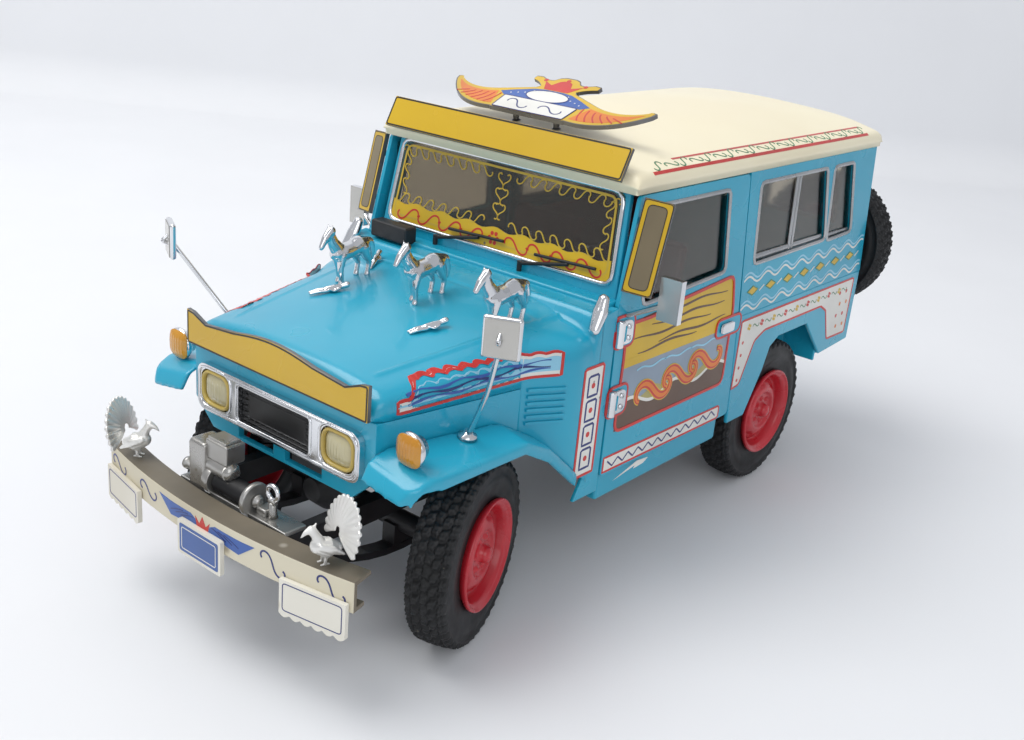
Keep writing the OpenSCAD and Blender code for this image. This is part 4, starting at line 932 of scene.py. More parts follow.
def metal_piece(name, parts, slot="chrome_plate", material=None, nodes=()):
    """One smooth-shaded object from closed parts, its normals turned outwards, fixed to the vehicle."""
    verts, faces = join_parts(parts)
    piece = mesh_piece(name, verts, faces, [material or chrome])
    bm = bmesh.new()
    bm.from_mesh(piece.data)
    bmesh.ops.recalc_face_normals(bm, faces=bm.faces)
    bm.to_mesh(piece.data)
    bm.free()
    weigh = piece.modifiers.new("normals", "WEIGHTED_NORMAL")
    weigh.keep_sharp = True
    return attach(piece, "vehicle", slot, *nodes)


winch_low = station("winch")[0]
flange_z = bumper_high[2]
drum_y = winch_low[1] + 2.35
drum_z = flange_z + 1.6
silver = finish("winch_silver", (0.52, 0.515, 0.50), (0.38, 0.37, 0.35), grain=240, rough=0.3,
                rough_spread=0.2, metal=0.85, bump=0.03, specks=0.6, speck_colour=(0.2, 0.17, 0.12))
cap = np.linspace(0, np.pi / 2, 7)
motor_profile = [(0, 1.3), (0.2, 1.7), (4.6, 1.7)] + [(4.6 + 1.4 * np.sin(t), 0.35 + 1.35 * np.cos(t))
                                                      for t in cap]
cable = [(0.0, 1.5)] + [(0.2 + i * 0.13, 1.78 + 0.14 * np.cos(i * np.pi)) for i in range(64)] + [(8.6, 1.5)]
metal_piece("winch_body", [
    slab((-11, drum_y - 2.1, winch_low[2]), (-6.6, drum_y + 3.0, flange_z + 8.2), 0.7),
    slab((-7.2, drum_y - 1.4, flange_z + 5.6), (-1.6, drum_y + 2.6, flange_z + 9.2), 0.35),
    slab((-6.9, drum_y - 1.1, flange_z + 8.9), (-2.2, drum_y + 2.2, flange_z + 9.6), 0.2),
    turned(motor_profile, (-6.8, drum_y - 0.1, flange_z + 4.3), (0, drum_y - 0.1, flange_z + 4.3)),
    turned([(0, 0.5), (0.2, 1.1), (0.9, 1.1), (1.0, 0.8), (3.4, 0.8)], (-14.4, drum_y, drum_z),
           (0, drum_y, drum_z)),
    turned([(0, 2.5), (0.2, 2.8), (1.5, 2.8), (1.7, 2.5)], (-6.9, drum_y, drum_z), (0, drum_y, drum_z)),
    turned([(0, 2.7), (0.15, 3.0), (0.9, 3.0), (1.05, 2.7)], (3.6, drum_y, drum_z), (9, drum_y, drum_z)),
    turned([(0, 1.2), (0.6, 1.2), (0.75, 0.9), (1.0, 0.9), (1.1, 0.4)], (4.6, drum_y, drum_z),
           (9, drum_y, drum_z)),
    slab((-13.8, drum_y - 1.8, winch_low[2]), (13.8, drum_y + 2.8, flange_z - 0.05), 0.25),
    slab((5.4, drum_y - 0.8, flange_z - 0.2), (7.6, drum_y + 1.8, flange_z + 1.2), 0.3),
    turned([(0, 0.9), (0.5, 0.7), (2.4, 0.7), (2.6, 0.5)], (8.2, drum_y + 0.4, flange_z),
           (8.2, drum_y + 0.4, 99)),
    slab((7.4, drum_y - 0.1, flange_z + 2.2), (9.0, drum_y + 0.9, flange_z + 3.2), 0.2),
], material=silver, nodes=("winch",))
metal_piece("winch_drum", [turned(cable, (-5.1, drum_y, drum_z), (9, drum_y, drum_z))], "black_plastic",
            black)
hook_angle = np.linspace(0, 2 * np.pi, 28, endpoint=False)
ring_path = np.column_stack([8.2 + 1.25 * np.cos(hook_angle), np.full(28, drum_y + 0.4),
                             flange_z + 4.3 + 1.25 * np.sin(hook_angle)])
tiny = np.linspace(0, 2 * np.pi, 10, endpoint=False)
metal_piece("winch_ring",
            [bead(ring_path, (0, -1, 0), 0.42 * np.column_stack([np.cos(tiny), np.sin(tiny)]))])


# ---- Birds, horses and reclining figures ----
# Tiny plated castings: each is one solid form with a fanned tail, or legs, mane and tail,
# glued to the bumper and the hood.

def limb(points, radii, n=18, sides=12, flat=1.0, ref=(0, 0, 1)):
    """Tube through a smoothed line of points with its radius following `radii`, closed by a
    quarter-ellipse run-in at both ends."""
    pts = np.asarray(points, float)
    knots = np.concatenate([[0], np.cumsum(np.linalg.norm(np.diff(pts, axis=0), axis=1))])
    t = np.linspace(0, knots[-1], n)
    line = np.column_stack([np.interp(t, knots, pts[:, i]) for i in range(3)])
    for _ in range(2):
        line[1:-1] = 0.25 * line[:-2] + 0.5 * line[1:-1] + 0.25 * line[2:]
    r = np.interp(t, knots, radii)
    r0, r1 = r[0], r[-1]
    tail = np.cos(np.linspace(np.pi / 2 * 0.96, 0, 5)[:-1])
    reach = np.sin(np.linspace(np.pi / 2 * 0.96, 0, 5)[:-1])
    d0, d1 = unit(line[1] - line[0]), unit(line[-1] - line[-2])
    line = np.concatenate([line[0] - d0 * (reach * r0)[:, None], line,
                           line[-1] + d1 * (reach[::-1] * r1)[:, None]])
    r = np.concatenate([tail * r0, r, tail[::-1] * r1])
    tangent = unit(np.gradient(line, axis=0))
    side = unit(np.cross(tangent, np.asarray(ref, float) + 1e-3))
    up = np.cross(side, tangent)
    a = np.linspace(0, 2 * np.pi, sides, endpoint=False)
    ring = np.cos(a)[None, :, None] * side[:, None] * flat + np.sin(a)[None, :, None] * up[:, None]
    verts = (line[:, None] + r[:, None, None] * ring).reshape(-1, 3)
    faces = grid_faces(len(line), sides, close_cols=True).tolist()
    faces += [list(range(sides))[::-1], list(range((len(line) - 1) * sides, len(line) * sides))]
    return verts, faces


def horse_parts():
    """Standing horse, nose towards -Y, hooves at z = 0: body, neck, head, ears, mane, legs and tail."""
    parts = [limb([(0, -2.9, 5.5), (0, -1.6, 5.3), (0, 0.4, 5.35), (0, 2.2, 5.7), (0, 3.3, 5.6)],
                  [1.3, 1.55, 1.4, 1.55, 1.2]),
             limb([(0, -2.6, 5.9), (0, -3.7, 7.6), (0, -4.3, 9.3)], [1.4, 1.1, 0.85], flat=0.78,
                  ref=(0, 1, 0)),
             limb([(0, -4.0, 9.6), (0, -5.3, 8.7), (0, -6.3, 7.5)], [0.9, 0.72, 0.5], flat=0.85),
             limb([(0, -3.3, 7.0), (0, -4.0, 8.8), (0, -4.2, 10.0)], [0.3, 0.4, 0.28], flat=0.6,
                  ref=(0, 1, 0)),
             limb([(0, 3.7, 6.2), (0, 4.9, 5.6), (0, 5.3, 3.6), (0, 5.1, 2.2)], [0.5, 0.7, 0.62, 0.3],
                  ref=(1, 0, 0))]
    for s in (-1, 1):
        parts.append(limb([(s * 0.4, -4.1, 9.9), (s * 0.5, -4.0, 10.7)], [0.25, 0.1], ref=(0, 1, 0)))
        lean_leg = 0.5 * s
        parts.append(limb([(s * 0.65, -2.4, 5.0), (s * 0.8, -2.6 - lean_leg, 2.9),
                           (s * 0.8, -2.5 - lean_leg, 0.9),
                           (s * 0.8, -2.8 - lean_leg, 0.25)], [0.9, 0.52, 0.4, 0.5], ref=(0, 1, 0)))
        parts.append(limb([(s * 0.65, 2.5, 5.2), (s * 0.8, 2.6 + lean_leg, 3.4),
                           (s * 0.8, 3.2 + lean_leg, 2.4),
                           (s * 0.8, 2.7 + lean_leg, 0.9), (s * 0.8, 2.5 + lean_leg, 0.25)],
                          [1.1, 0.72, 0.5, 0.42, 0.5], ref=(0, 1, 0)))
    return parts


def fan_surface(radius=5.7, spread=118, feathers=17, thick=0.45):
    """Fan in the x-z plane: a scalloped outer edge and one rounded ridge for each feather."""
    a = np.radians(np.linspace(90 - spread, 90 + spread, feathers * 8 + 1))
    rho = np.linspace(0.12, 1, 18)[:, None]
    wave = np.abs(np.sin(np.linspace(0, np.pi * feathers, len(a))))
    R = radius * rho * (0.93 + 0.07 * wave)[None, :]
    ridge = thick * (0.45 + 0.75 * wave[None, :] ** 0.6) * (0.35 + 0.65 * rho)
    cup = 0.9 * rho ** 2
    outer = [np.stack([R * np.cos(a), cup + s * ridge / 2, R * np.sin(a)], -1) for s in (-1, 1)]
    rows, cols = R.shape
    f = grid_faces(rows, cols)
    k = rows * cols
    idx = np.arange(k).reshape(rows, cols)
    border = np.concatenate([idx[0, :-1], idx[:-1, -1], idx[-1, :0:-1], idx[:0:-1, 0]])
    rim = np.stack([border, np.roll(border, -1), np.roll(border, -1) + k, border + k], -1)
    return np.concatenate(outer).reshape(-1, 3), np.concatenate([f, f[:, ::-1] + k, rim]).tolist()


def bird_parts():
    """Perched bird, beak towards -Y: plump body, bent neck, crested head, folded wings and an upright fan."""
    fan_v, fan_f = fan_surface()
    tip = np.radians(14)
    fan_v = fan_v @ np.array([[1, 0, 0], [0, np.cos(tip), -np.sin(tip)], [0, np.sin(tip), np.cos(tip)]])
    parts = [limb([(0, 1.9, 2.4), (0, 0.4, 2.7), (0, -1.2, 3.3)], [0.9, 1.7, 1.3]),
             limb([(0, -1.0, 3.9), (0, -1.7, 5.3), (0, -2.3, 6.2)], [1.0, 0.7, 0.75], ref=(0, 1, 0)),
             limb([(0, -2.4, 6.3), (0, -3.3, 6.0), (0, -4.0, 5.3)], [0.7, 0.4, 0.12]),
             limb([(0, -2.0, 6.6), (0, -1.6, 7.3)], [0.3, 0.12], ref=(0, 1, 0)),
             (fan_v + [0, 1.9, 5.2], fan_f)]
    for s in (-1, 1):
        parts.append(limb([(s * 1.2, -1.2, 3.6), (s * 1.6, 0.6, 3.0), (s * 1.2, 2.6, 1.7)],
                          [0.6, 0.75, 0.25], flat=0.6))
        parts.append(limb([(s * 0.6, -0.1, 2.0), (s * 0.6, -0.2, 0.2)], [0.35, 0.28], ref=(0, 1, 0)))
        parts.append(limb([(s * 0.6, -0.9, 0.15), (s * 0.6, 0.4, 0.15)], [0.2, 0.2]))
    return parts


def figure_parts():
    """Little figure lying on its back, head towards +Y: legs, hips, chest, arms and a plain round head."""
    parts = [limb([(0, -0.6, 0.8), (0, 0.9, 0.85), (0, 1.9, 1.0)], [0.6, 0.7, 0.55]),
             limb([(0, 2.3, 1.1), (0, 3.2, 1.25)], [0.5, 0.62])]
    for s in (-1, 1):
        parts.append(limb([(s * 0.3, -0.6, 0.7), (s * 0.4, -2.2, 0.75), (s * 0.35, -3.7, 0.5)],
                          [0.45, 0.34, 0.25]))
        parts.append(limb([(s * 0.6, 1.7, 0.95), (s * 1.0, 0.6, 0.7), (s * 0.5, -0.2, 1.0)],
                          [0.28, 0.24, 0.2]))
    return parts


def casting(name, kind, parts, places, node, detail=0.13):
    """Parts fused by a voxel remesh, copied to each (place, turn, tilt, size) and joined as one piece."""
    verts, faces = join_parts(parts)
    solid = mesh_piece(name + "_pattern", verts, faces)
    fuse = solid.modifiers.new("fuse", "REMESH")
    fuse.mode = "VOXEL"
    fuse.voxel_size = detail * MM
    even = solid.modifiers.new("even", "SMOOTH")
    even.factor, even.iterations = 0.5, 2
    done = bpy.data.meshes.new_from_object(solid.evaluated_get(bpy.context.evaluated_depsgraph_get()))
    v = np.empty(len(done.vertices) * 3)
    done.vertices.foreach_get("co", v)
    v = v.reshape(-1, 3) / MM
    f = [list(p.vertices) for p in done.polygons]
    bpy.data.objects.remove(solid)
    copies = []
    for place, turn, tilt, size in places:
        m = np.array((Matrix.Rotation(tilt, 3, "X") @ Matrix.Rotation(turn, 3, "Z")).transposed())
        copies.append(((v * size) @ m + np.asarray(place), f))
    cv, cf = join_parts(copies)
    return attach(mesh_piece(name, cv, cf, [kind]), "vehicle", "chrome_plate", *([node] if node else []))


hood_pitch = np.arctan2(hood_high[2] - hood_low[2] - 6.0, hood_high[1] - hood_low[1])
horse_places, figure_places = [], []
for x, back, turn in ((-14.0, 11, 0.05), (3.4, 13, 0.0), (20.2, 15.4, -0.05)):
    y = front_axle_y + back
    horse_places.append(((x, y, hood_height(x, y) - 0.1), turn, hood_pitch, 1.12))
for x, back, turn in ((-12, 4, -0.5), (13, 4, -0.35), (-17, 20, 0.5)):
    y = front_axle_y + back
    figure_places.append(((x, y, hood_height(x, y) - 0.15), turn, hood_pitch, 1.0))
casting("hood_horses", chrome, horse_parts(), horse_places, "hood_ornaments", 0.16)
casting("hood_figures", chrome, figure_parts(), figure_places, None, 0.14)
bird_y = bumper_low[1] + 4.4
bird_silver = finish("bird_silver", (0.86, 0.85, 0.82), (0.70, 0.69, 0.66), grain=300, rough=0.36,
                     rough_spread=0.2, metal=0.55, bump=0.02)
casting("bumper_birds_cast", bird_silver, bird_parts(),
        [((24.6, bird_y, flange_z - 0.1), -0.32, 0, 1.0), ((-24.6, bird_y, flange_z - 0.1), 2.15, 0, 1.0)],
        "bumper_birds", 0.14)

# ---- Signs, crest and side boards ----
# Sheet boards with dark edges and printed yellow faces, all blank; the crest's wings, crown, shield
# field and plaque are painted in generic colours.

sign_yellow = finish("sign_yellow", (0.64, 0.41, 0.012), (0.56, 0.345, 0.01), grain=90, rough=0.3,
                     bump=0.012, coat=0.35, specks=0.35, speck_colour=(0.3, 0.2, 0.03))
board_edge = finish("board_edge", (0.20, 0.20, 0.205), (0.12, 0.12, 0.125), grain=250, rough=0.3, metal=0.7,
                    bump=0.02)
sign = rounded_copy("front_signboard", [board_edge, sign_yellow], 0.14)
by_direction(sign, (0, -1, 0), 1, 0.9)
front_sign_low, front_sign_high = station("front_signboard")


def on_front_sign(p, lift):
    """Place on the front board's upright face by (across, height)."""
    return np.column_stack([p[:, 0], np.full(len(p), front_sign_low[1] - lift), p[:, 1]])


fz = front_sign_low[2]
fx = front_sign_high[0]
t = np.linspace(10, -10, 13)
top_edge = [(fx, fz + 6.2), (fx - 1.6, fz + 6.0), (fx - 5, fz + 4.6)] + [
    (x, fz + 5.4 + 1.2 * np.sin(np.radians((10 - x) / 20 * 180))) for x in t] + [
    (-fx + 5, fz + 4.6), (-fx + 1.6, fz + 6.0), (-fx, fz + 6.2)]
edge = np.array([(-fx, fz), (fx, fz)] + top_edge)
middle = np.array([0, fz + 2.6])
artwork("front_sign_line",
        [(ink_black, [ribbon(round_outline(middle + (edge - middle) * [0.988, 0.93], 0.3, 3), 0.3,
                             on_front_sign, 0.04, closed=True)])], slot="sign_yellow")

roof_sign = rounded_copy("roof_signboard", [board_edge, sign_yellow], 0.12)
sign_tilt = np.radians(27)
sign_normal = np.array([0, -np.cos(sign_tilt), np.sin(sign_tilt)])
by_direction(roof_sign, sign_normal, 1, 0.95)
sign_x = station("roof_signboard")[1][0]
sign_up = np.array([0, np.sin(sign_tilt), np.cos(sign_tilt)])
sign_centre = np.array([0, station("cowl")[1][1] + 2.45, belt_z + 35.7])


def on_roof_sign(p, lift):
    """Place on the roof board's tilted face by (across, up its face) from its centre."""
    return sign_centre + p[:, :1] * [1, 0, 0] + p[:, 1:] * sign_up + (0.4 + lift) * sign_normal


loop = round_outline([(-sign_x + 0.25, -2.85), (sign_x - 0.25, -2.85), (sign_x - 0.25, 2.85),
                      (-sign_x + 0.25, 2.85)], 0.5)
artwork("roof_sign_line", [(ink_black, [ribbon(loop, 0.3, on_roof_sign, 0.04, closed=True)])],
        slot="sign_yellow")

recline = np.radians(68)
crest_up = np.array([0, np.sin(recline), np.cos(recline)])
crest_out = np.array([0, -np.cos(recline), np.sin(recline)])
crest_base = np.array([0, roof_low[1] + 6.4, roof_low[2] + 8.1])


def on_crest(p, lift):
    """Place on the reclined crest by (across, up its face) from the middle of its foot."""
    p = np.asarray(p, float)
    return crest_base + p[:, :1] * [1, 0, 0] + p[:, 1:] * crest_up + (0.8 + lift) * crest_out


def curve(a, b, c, n=14):
    """Quadratic curve from a to c pulled towards b."""
    s = np.linspace(0, 1, n)[:, None]
    return (1 - s) ** 2 * np.array(a) + 2 * s * (1 - s) * np.array(b) + s ** 2 * np.array(c)


def mirrored(half):
    """Closed outline from its right half, listed bottom to top."""
    half = np.asarray(half, float)
    return np.vstack([half, (half * [-1, 1])[::-1]])


wing_half = np.vstack([[(8.9, 0)], curve((9.2, 0.2), (18.5, -1.2), (24.2, 7.6)), [(24.5, 8.8), (23.6, 9.0)],
                       curve((23.2, 8.4), (18.5, 4.9), (12.4, 7.0)), [(8.4, 8.6), (5.0, 10.0), (4.4, 10.9)],
                       curve((4.8, 11.4), (6.0, 12.6), (8.0, 13.2), 6), [(8.0, 14.3), (6.6, 14.5)],
                       curve((5.6, 14.0), (4.2, 13.3), (3.2, 13.9), 5), [(2.4, 15.0), (1.2, 15.5)]])
crest_loop = mirrored(wing_half)
board = patch(crest_loop, on_crest, 0.0, sink=0.8)
feet = []
foot_low = crest_base + np.array([0, 3.6, -1.6])
for s in (-5, 5):
    feet.append(turned([(0, 0.9), (0.3, 0.6), (2.9, 0.6)], foot_low + [s, 0, 0], foot_low + [s, -1.0, 5.0]))
inset = np.array([0, 6.0])
yellow_face = patch(inset + (crest_loop - inset) * [0.985, 0.965], on_crest, 0.03)
orange, feather, blue_field, dots, red_crown, white_parts, thin_lines = [], [], [], [], [], [], []
for s in (-1, 1):
    wing = np.vstack([[(9.6, 1.2)], curve((10.4, 1.0), (18.0, 0.6), (22.8, 7.4)),
                      curve((22.2, 7.2), (17.8, 4.0), (11.4, 6.0))])
    orange.append(patch((wing * [s, 1])[::s], on_crest, 0.06))
    for k in range(6):
        f0 = np.array([10.2 + 1.5 * k, 5.4 - 0.22 * k])
        f1 = np.array([11.6 + 1.75 * k, 1.1 + 0.12 * k ** 1.8])
        feather.append(ribbon(curve(f0, (f0[0] + 0.1, 2.6 + 0.35 * k), f1, 8) * [s, 1], 0.3, on_crest, 0.09))
field = mirrored([(9.4, 5.0), (11.0, 6.2), (8.0, 7.7), (4.6, 9.2), (2.2, 9.6)])
blue_field.append(patch(field, on_crest, 0.06))
for k in range(13):
    x = -8.4 + 1.4 * k
    dots.append(patch(disc((x, 8.9 - 0.026 * x * x - 0.9 * (abs(x) > 5)), 0.17, 8), on_crest, 0.1))
red_crown.append(patch(mirrored([(2.9, 9.8), (4.6, 12.8), (2.4, 11.6), (1.5, 13.4), (0.7, 13.9)]), on_crest,
                       0.07))
for x, z in ((4.9, 13.2), (-4.9, 13.2), (0, 14.3)):
    red_crown.append(patch(disc((x, z), 0.5, 12), on_crest, 0.07))
white_parts.append(patch(disc((0, 7.1), 5.0, 40, 0.42), on_crest, 0.10))
plaque = round_outline([(-8.6, 0.35), (8.6, 0.35), (8.9, 5.0), (-8.9, 5.0)], 0.35, 3)
white_parts.append(patch(plaque, on_crest, 0.12))
thin_lines += [ribbon(disc((0, 7.1), 5.0, 40, 0.42), 0.2, on_crest, 0.13, closed=True),
               ribbon(plaque, 0.22, on_crest, 0.15, closed=True)]
for s in (-1, 1):
    thin_lines.append(ribbon(s_scroll((s * 1.4, 2.4), (s * 6.6, 2.9), 3.0), 0.28, on_crest, 0.15))
crest = artwork("crest_board", [(board_edge, [board] + feet), (ink_yellow, [yellow_face]),
                                (ink_orange, orange), (ink_red, feather + red_crown),
                                (ink_blue, blue_field), (ink_white, white_parts + dots),
                                (ink_navy, thin_lines)], slot="sign_yellow")
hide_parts("roof_crest")

rounded_copy("side_boards", [board_edge], 0.16)
board_centre = np.array([half_w + 2.1, station("cowl")[1][1] + 3.65, belt_z + 22])
tip, swing = np.radians(-14), np.radians(20)
board_turn = np.array(Matrix.Rotation(tip, 3, "X") @ Matrix.Rotation(swing, 3, "Z"))
ochre = finish("board_ochre", (0.23, 0.185, 0.11), (0.17, 0.135, 0.08), grain=160, rough=0.35, bump=0.015,
               specks=0.3)
yellow_rims, ochre_fields, marks = [], [], []
for s in (-1, 1):
    def on_board(p, lift, s=s):
        q = (np.column_stack([p[:, 0], np.full(len(p), -0.4 - lift), p[:, 1]]) @ board_turn.T) + board_centre
        return q * [s, 1, 1]
    outer = round_outline([(-2.65, -8.4), (2.65, -8.4), (2.65, 8.4), (-2.65, 8.4)], 0.7)
    yellow_rims.append(patch(outer[::s], on_board, 0.03))
    inner = round_outline([(-1.75, -7.5), (1.75, -7.5), (1.75, 7.5), (-1.75, 7.5)], 1.0)
    ochre_fields.append(patch(inner[::s], on_board, 0.06))
    marks.append(ribbon(inner, 0.14, on_board, 0.09, closed=True))
    marks.append(ribbon(outer * 0.985, 0.16, on_board, 0.07, closed=True))
artwork("side_board_faces", [(sign_yellow, yellow_rims), (ochre, ochre_fields), (ink_black, marks)],
        slot="sign_yellow")

# ---- Mirrors ----
# Plated wing mirrors on long bent-wire stalks and door mirrors on short arms, each a rounded
# housing with a bright rim, glued with visible feet.

foot_z = station("fender_mirrors")[0][2]
heads, panes = [], []
for s, out, ahead, up in ((1, 9.6, 5.2, 20.8), (-1, 12.0, 8.7, 18.4)):
    foot = np.array([s * (half_w - 4.4), front_axle_y - 1.6, foot_z + 0.25])
    head = foot + [s * out, -ahead, up]
    heads.append(turned([(0, 1.7), (0.5, 1.6), (0.8, 0.9), (1.5, 0.6)], foot, foot + [0.1 * s, 0, 1.0]))
    heads.append(limb([foot, foot * 0.5 + head * 0.5 + [s * 0.6, 0.3, 0], head], [0.5, 0.42, 0.42],
                      ref=(0, 1, 0)))
    hv, hf = slab((-3.1, -3.4, -0.55), (3.1, 3.4, 0.65), 0.5)
    hv = np.column_stack([hv[:, 0], -hv[:, 2], hv[:, 1] + 0.5])
    gv, gf = slab((-2.7, -3.0, 0.3), (2.7, 3.0, 0.5), 0.12)
    gv = np.column_stack([gv[:, 0], -gv[:, 2] - 0.28, gv[:, 1] + 0.5])
    k = np.radians(28) * s
    spin = np.array([[np.cos(k), np.sin(k), 0], [-np.sin(k), np.cos(k), 0], [0, 0, 1]])
    heads.append((hv @ spin + head, hf))
    panes.append((gv @ spin + head, gf))
    heads.append(limb([head + [0, -0.3, -0.6], head + [s * 0.6, -1.6, 0.2], head + [0, -0.4, 1.4]],
                      [0.4, 0.4, 0.35]))
metal_piece("wing_mirror_parts", heads, nodes=("fender_mirrors",))
mirror_grey = finish("housing_grey", (0.60, 0.59, 0.56), (0.48, 0.47, 0.44), grain=200, rough=0.22,
                     metal=0.6, bump=0.02, specks=0.5)
metal_piece("wing_mirror_backs", panes, material=mirror_grey)
by_direction(rounded_copy("door_mirrors", [chrome, mirror_grey], 0.35, segments=3),
             (0, -1, 0), 1, 0.8)
rounded_copy("cowl_box", [black], 0.5, segments=3)
dress("wipers", black)


# ---- Cowl sides and scuttle ----
# Turquoise skin that sweeps from the hood's rear corners out to the full body width,
# drops to the wing behind the arch, and closes the ledge under the windscreen; pressed louvres.

cowl_low, cowl_high = station("cowl")
flare_start = cowl_low[1] - 12.8
flare_end = cowl_low[1] + 3.3


def flare_width(y):
    """Half width: the hood's straight taper, eased out to the body side over 11.5 mm."""
    along = (y - nose_y) / (hood_high[1] - nose_y)
    base = nose_half + (hood_high[0] - nose_half) * along
    e = np.clip((y - flare_start) / 11.5, 0, 1)
    return base + 0.03 + (half_w + 0.03 - base) * e * e * (3 - 2 * e)


def flare_surface(rows=40, cols=81, side_rows=16):
    """Sections of a superellipse over the seam and an upright wall below it down to the wing."""
    y = np.linspace(flare_start, flare_end, rows)
    w = flare_width(y)
    along = (y - nose_y) / (hood_high[1] - nose_y)
    seam_z = hood_low[2]
    hood_h = 5.75 + (hood_high[2] - seam_z - 5.7) * along
    rise = np.clip((y - flare_end + 2.2) / 1.8, 0, 1)
    rise = rise * rise * (3 - 2 * rise)
    h = hood_h - 1.5 + (cowl_high[2] - 0.35 - seam_z - hood_h + 1.5) * rise
    n = 5.2 + 9 * rise
    a = np.linspace(0, np.pi, cols)
    c = np.cos(a)[None, :]
    XF = w[:, None] * np.sign(c) * np.abs(c) ** (2 / n[:, None])
    ZF = seam_z + h[:, None] * np.abs(np.sin(a))[None, :] ** (2 / n[:, None])
    low = np.interp(y, [front_axle_y + 7, front_axle_y + 14.5, front_axle_y + 27, flare_end + 3],
                    [wing_high[2] - 0.3, wing_high[2] - 4, sill_high[2] + 3.9,
                     sill_high[2]]) - (w - 23) * 0.176 - 0.5
    down = np.linspace(1, 0, side_rows, endpoint=False)
    ZS = seam_z + (low - seam_z)[:, None] * down
    XS = np.repeat(w[:, None], side_rows, 1)
    XA = np.concatenate([XS, XF, -XS[:, ::-1]], 1)
    ZA = np.concatenate([ZS, ZF, ZS[:, ::-1]], 1)
    return np.stack([XA, np.repeat(y[:, None], XA.shape[1], 1), ZA], -1)


flare = flare_surface()
flare_piece = mesh_piece("cowl_sides", flare.reshape(-1, 3), grid_faces(*flare.shape[:2]), [turquoise])
thick = flare_piece.modifiers.new("thickness", "SOLIDIFY")
thick.thickness = 0.7 * MM
thick.offset = -1
attach(flare_piece, "vehicle", "body_turquoise")
metal_piece("scuttle", [slab((-half_w + 1.6, cowl_high[1] - 1.2, cowl_high[2] - 1.6),
                             (half_w - 1.6, cowl_high[1] + 3.2, cowl_high[2] + 0.5), 0.5)],
            slot="body_turquoise", material=turquoise)


def on_flare(s):
    """Place on the cowl sides by (distance along, height)."""
    return lambda p, lift: np.column_stack([s * (flare_width(p[:, 0]) + lift), p[:, 0], p[:, 1]])


def on_side(s):
    """Place on the body side by (distance along, height)."""
    return lambda p, lift: np.column_stack([s * (side_x(p[:, 1]) + lift), p[:, 0], p[:, 1]])


def dense(path, gap=1.0, closed=True):
    """Path cut into even short steps so that it can follow a bend."""
    p = np.asarray(path, float)
    if closed:
        p = np.vstack([p, p[:1]])
    d = np.concatenate([[0], np.cumsum(np.linalg.norm(np.diff(p, axis=0), axis=1))])
    t = np.linspace(0, d[-1], max(int(d[-1] / gap), 4) + 1)
    q = np.column_stack([np.interp(t, d, p[:, 0]), np.interp(t, d, p[:, 1])])
    return q[:-1] if closed else q


def band(y0, y1, z0, z1):
    """Upright rectangle, listed from its low front corner."""
    return np.array([(y0, z0), (y1, z0), (y1, z1), (y0, z1)], float)


louvres = []
for s in (1, -1):
    for k in range(6):
        z = 37.4 + 1.25 * k
        louvres.append(ribbon(dense([(front_axle_y + 13.2, z), (front_axle_y + 19.6, z)], 0.5, False), 0.55,
                              on_flare(s), 0.45, sink=0.2))
artwork("louvres", [(turquoise, louvres)], slot="body_turquoise")

# ---- Windscreen pane, trim and window surrounds ----
# Clear sheet in a bright rounded frame, printed with a gold line, gold scrolls and a yellow band with
# red scrolls; silver-painted surrounds round every side window, and a divided sliding pane.

screen_back, screen_rise = 3.3, 20.6
slope = screen_back / screen_rise
screen_y = cowl_high[1] + 2.15
screen_z = belt_z + 11.1


def on_screen(p, lift):
    """Place on the windscreen's leaning front plane by (across, height)."""
    p = np.asarray(p, float)
    return np.column_stack([p[:, 0], screen_y + slope * (p[:, 1] - screen_z) - lift, p[:, 1]])


screen_loop = round_outline([(-28.6, belt_z + 13.6), (28.6, belt_z + 13.6), (27.4, belt_z + 30.3),
                             (-27.4, belt_z + 30.3)], 2.2)
screen_path = on_screen(dense(screen_loop, 1.2), 0.0)
artwork("screen_pane", [(clear, [patch(screen_loop, on_screen, 0.16, sink=-0.02)])], slot="window_clear")
metal_piece("screen_trim", [bead(screen_path, (0, -1, 0), half_round(1.0, 0.55))])
gold = ink("ink_gold", (0.62, 0.42, 0.045))
gold_marks, red_marks, bands = [], [], []
inner_loop = round_outline([(-27.2, belt_z + 15.0), (27.2, belt_z + 15.0), (26.1, belt_z + 29.2),
                            (-26.1, belt_z + 29.2)], 1.6)
gold_marks.append(ribbon(dense(inner_loop), 0.42, on_screen, 0.22, closed=True))
wave_x = np.linspace(-27.6, 27.6, 56)
top_line = belt_z + 17.7 + 0.35 * np.cos(wave_x * 0.9)
band_loop = np.vstack([[(-27.9, belt_z + 14.1), (27.9, belt_z + 14.1)],
                       np.column_stack([wave_x, top_line])[::-1]])
bands.append(patch(band_loop, on_screen, 0.2))
for k in range(7):
    x = 3.2 + 3.4 * k
    for s in (1, -1):
        gold_marks.append(ribbon(s_scroll((s * x, belt_z + 18.7), (s * (x + 3.2), belt_z + 18.7), 3.6, 26,
                                          s), 0.22, on_screen, 0.24))
        gold_marks.append(ribbon(s_scroll((s * x, belt_z + 28.0), (s * (x + 3.2), belt_z + 28.0), 3.6, 26,
                                          -s), 0.22, on_screen, 0.24))
for k in range(3):
    z = belt_z + 19.6 + 2.9 * k
    for s in (1, -1):
        gold_marks.append(ribbon(s_scroll((s * 25.3, z), (s * 25.1, z + 2.6), 3.6, 26, s), 0.22, on_screen,
                                 0.24))
        gold_marks.append(ribbon(s_scroll((s * 0.7, z), (s * 0.7, z + 2.6), 3.6, 26, s), 0.22, on_screen,
                                 0.24))
for k in range(4):
    x = 3.0 + 5.8 * k
    for s in (1, -1):
        red_marks.append(ribbon(s_scroll((s * x, belt_z + 15.5), (s * (x + 5.2), belt_z + 15.9), 3.3, 30,
                                         s), 0.36, on_screen, 0.24))
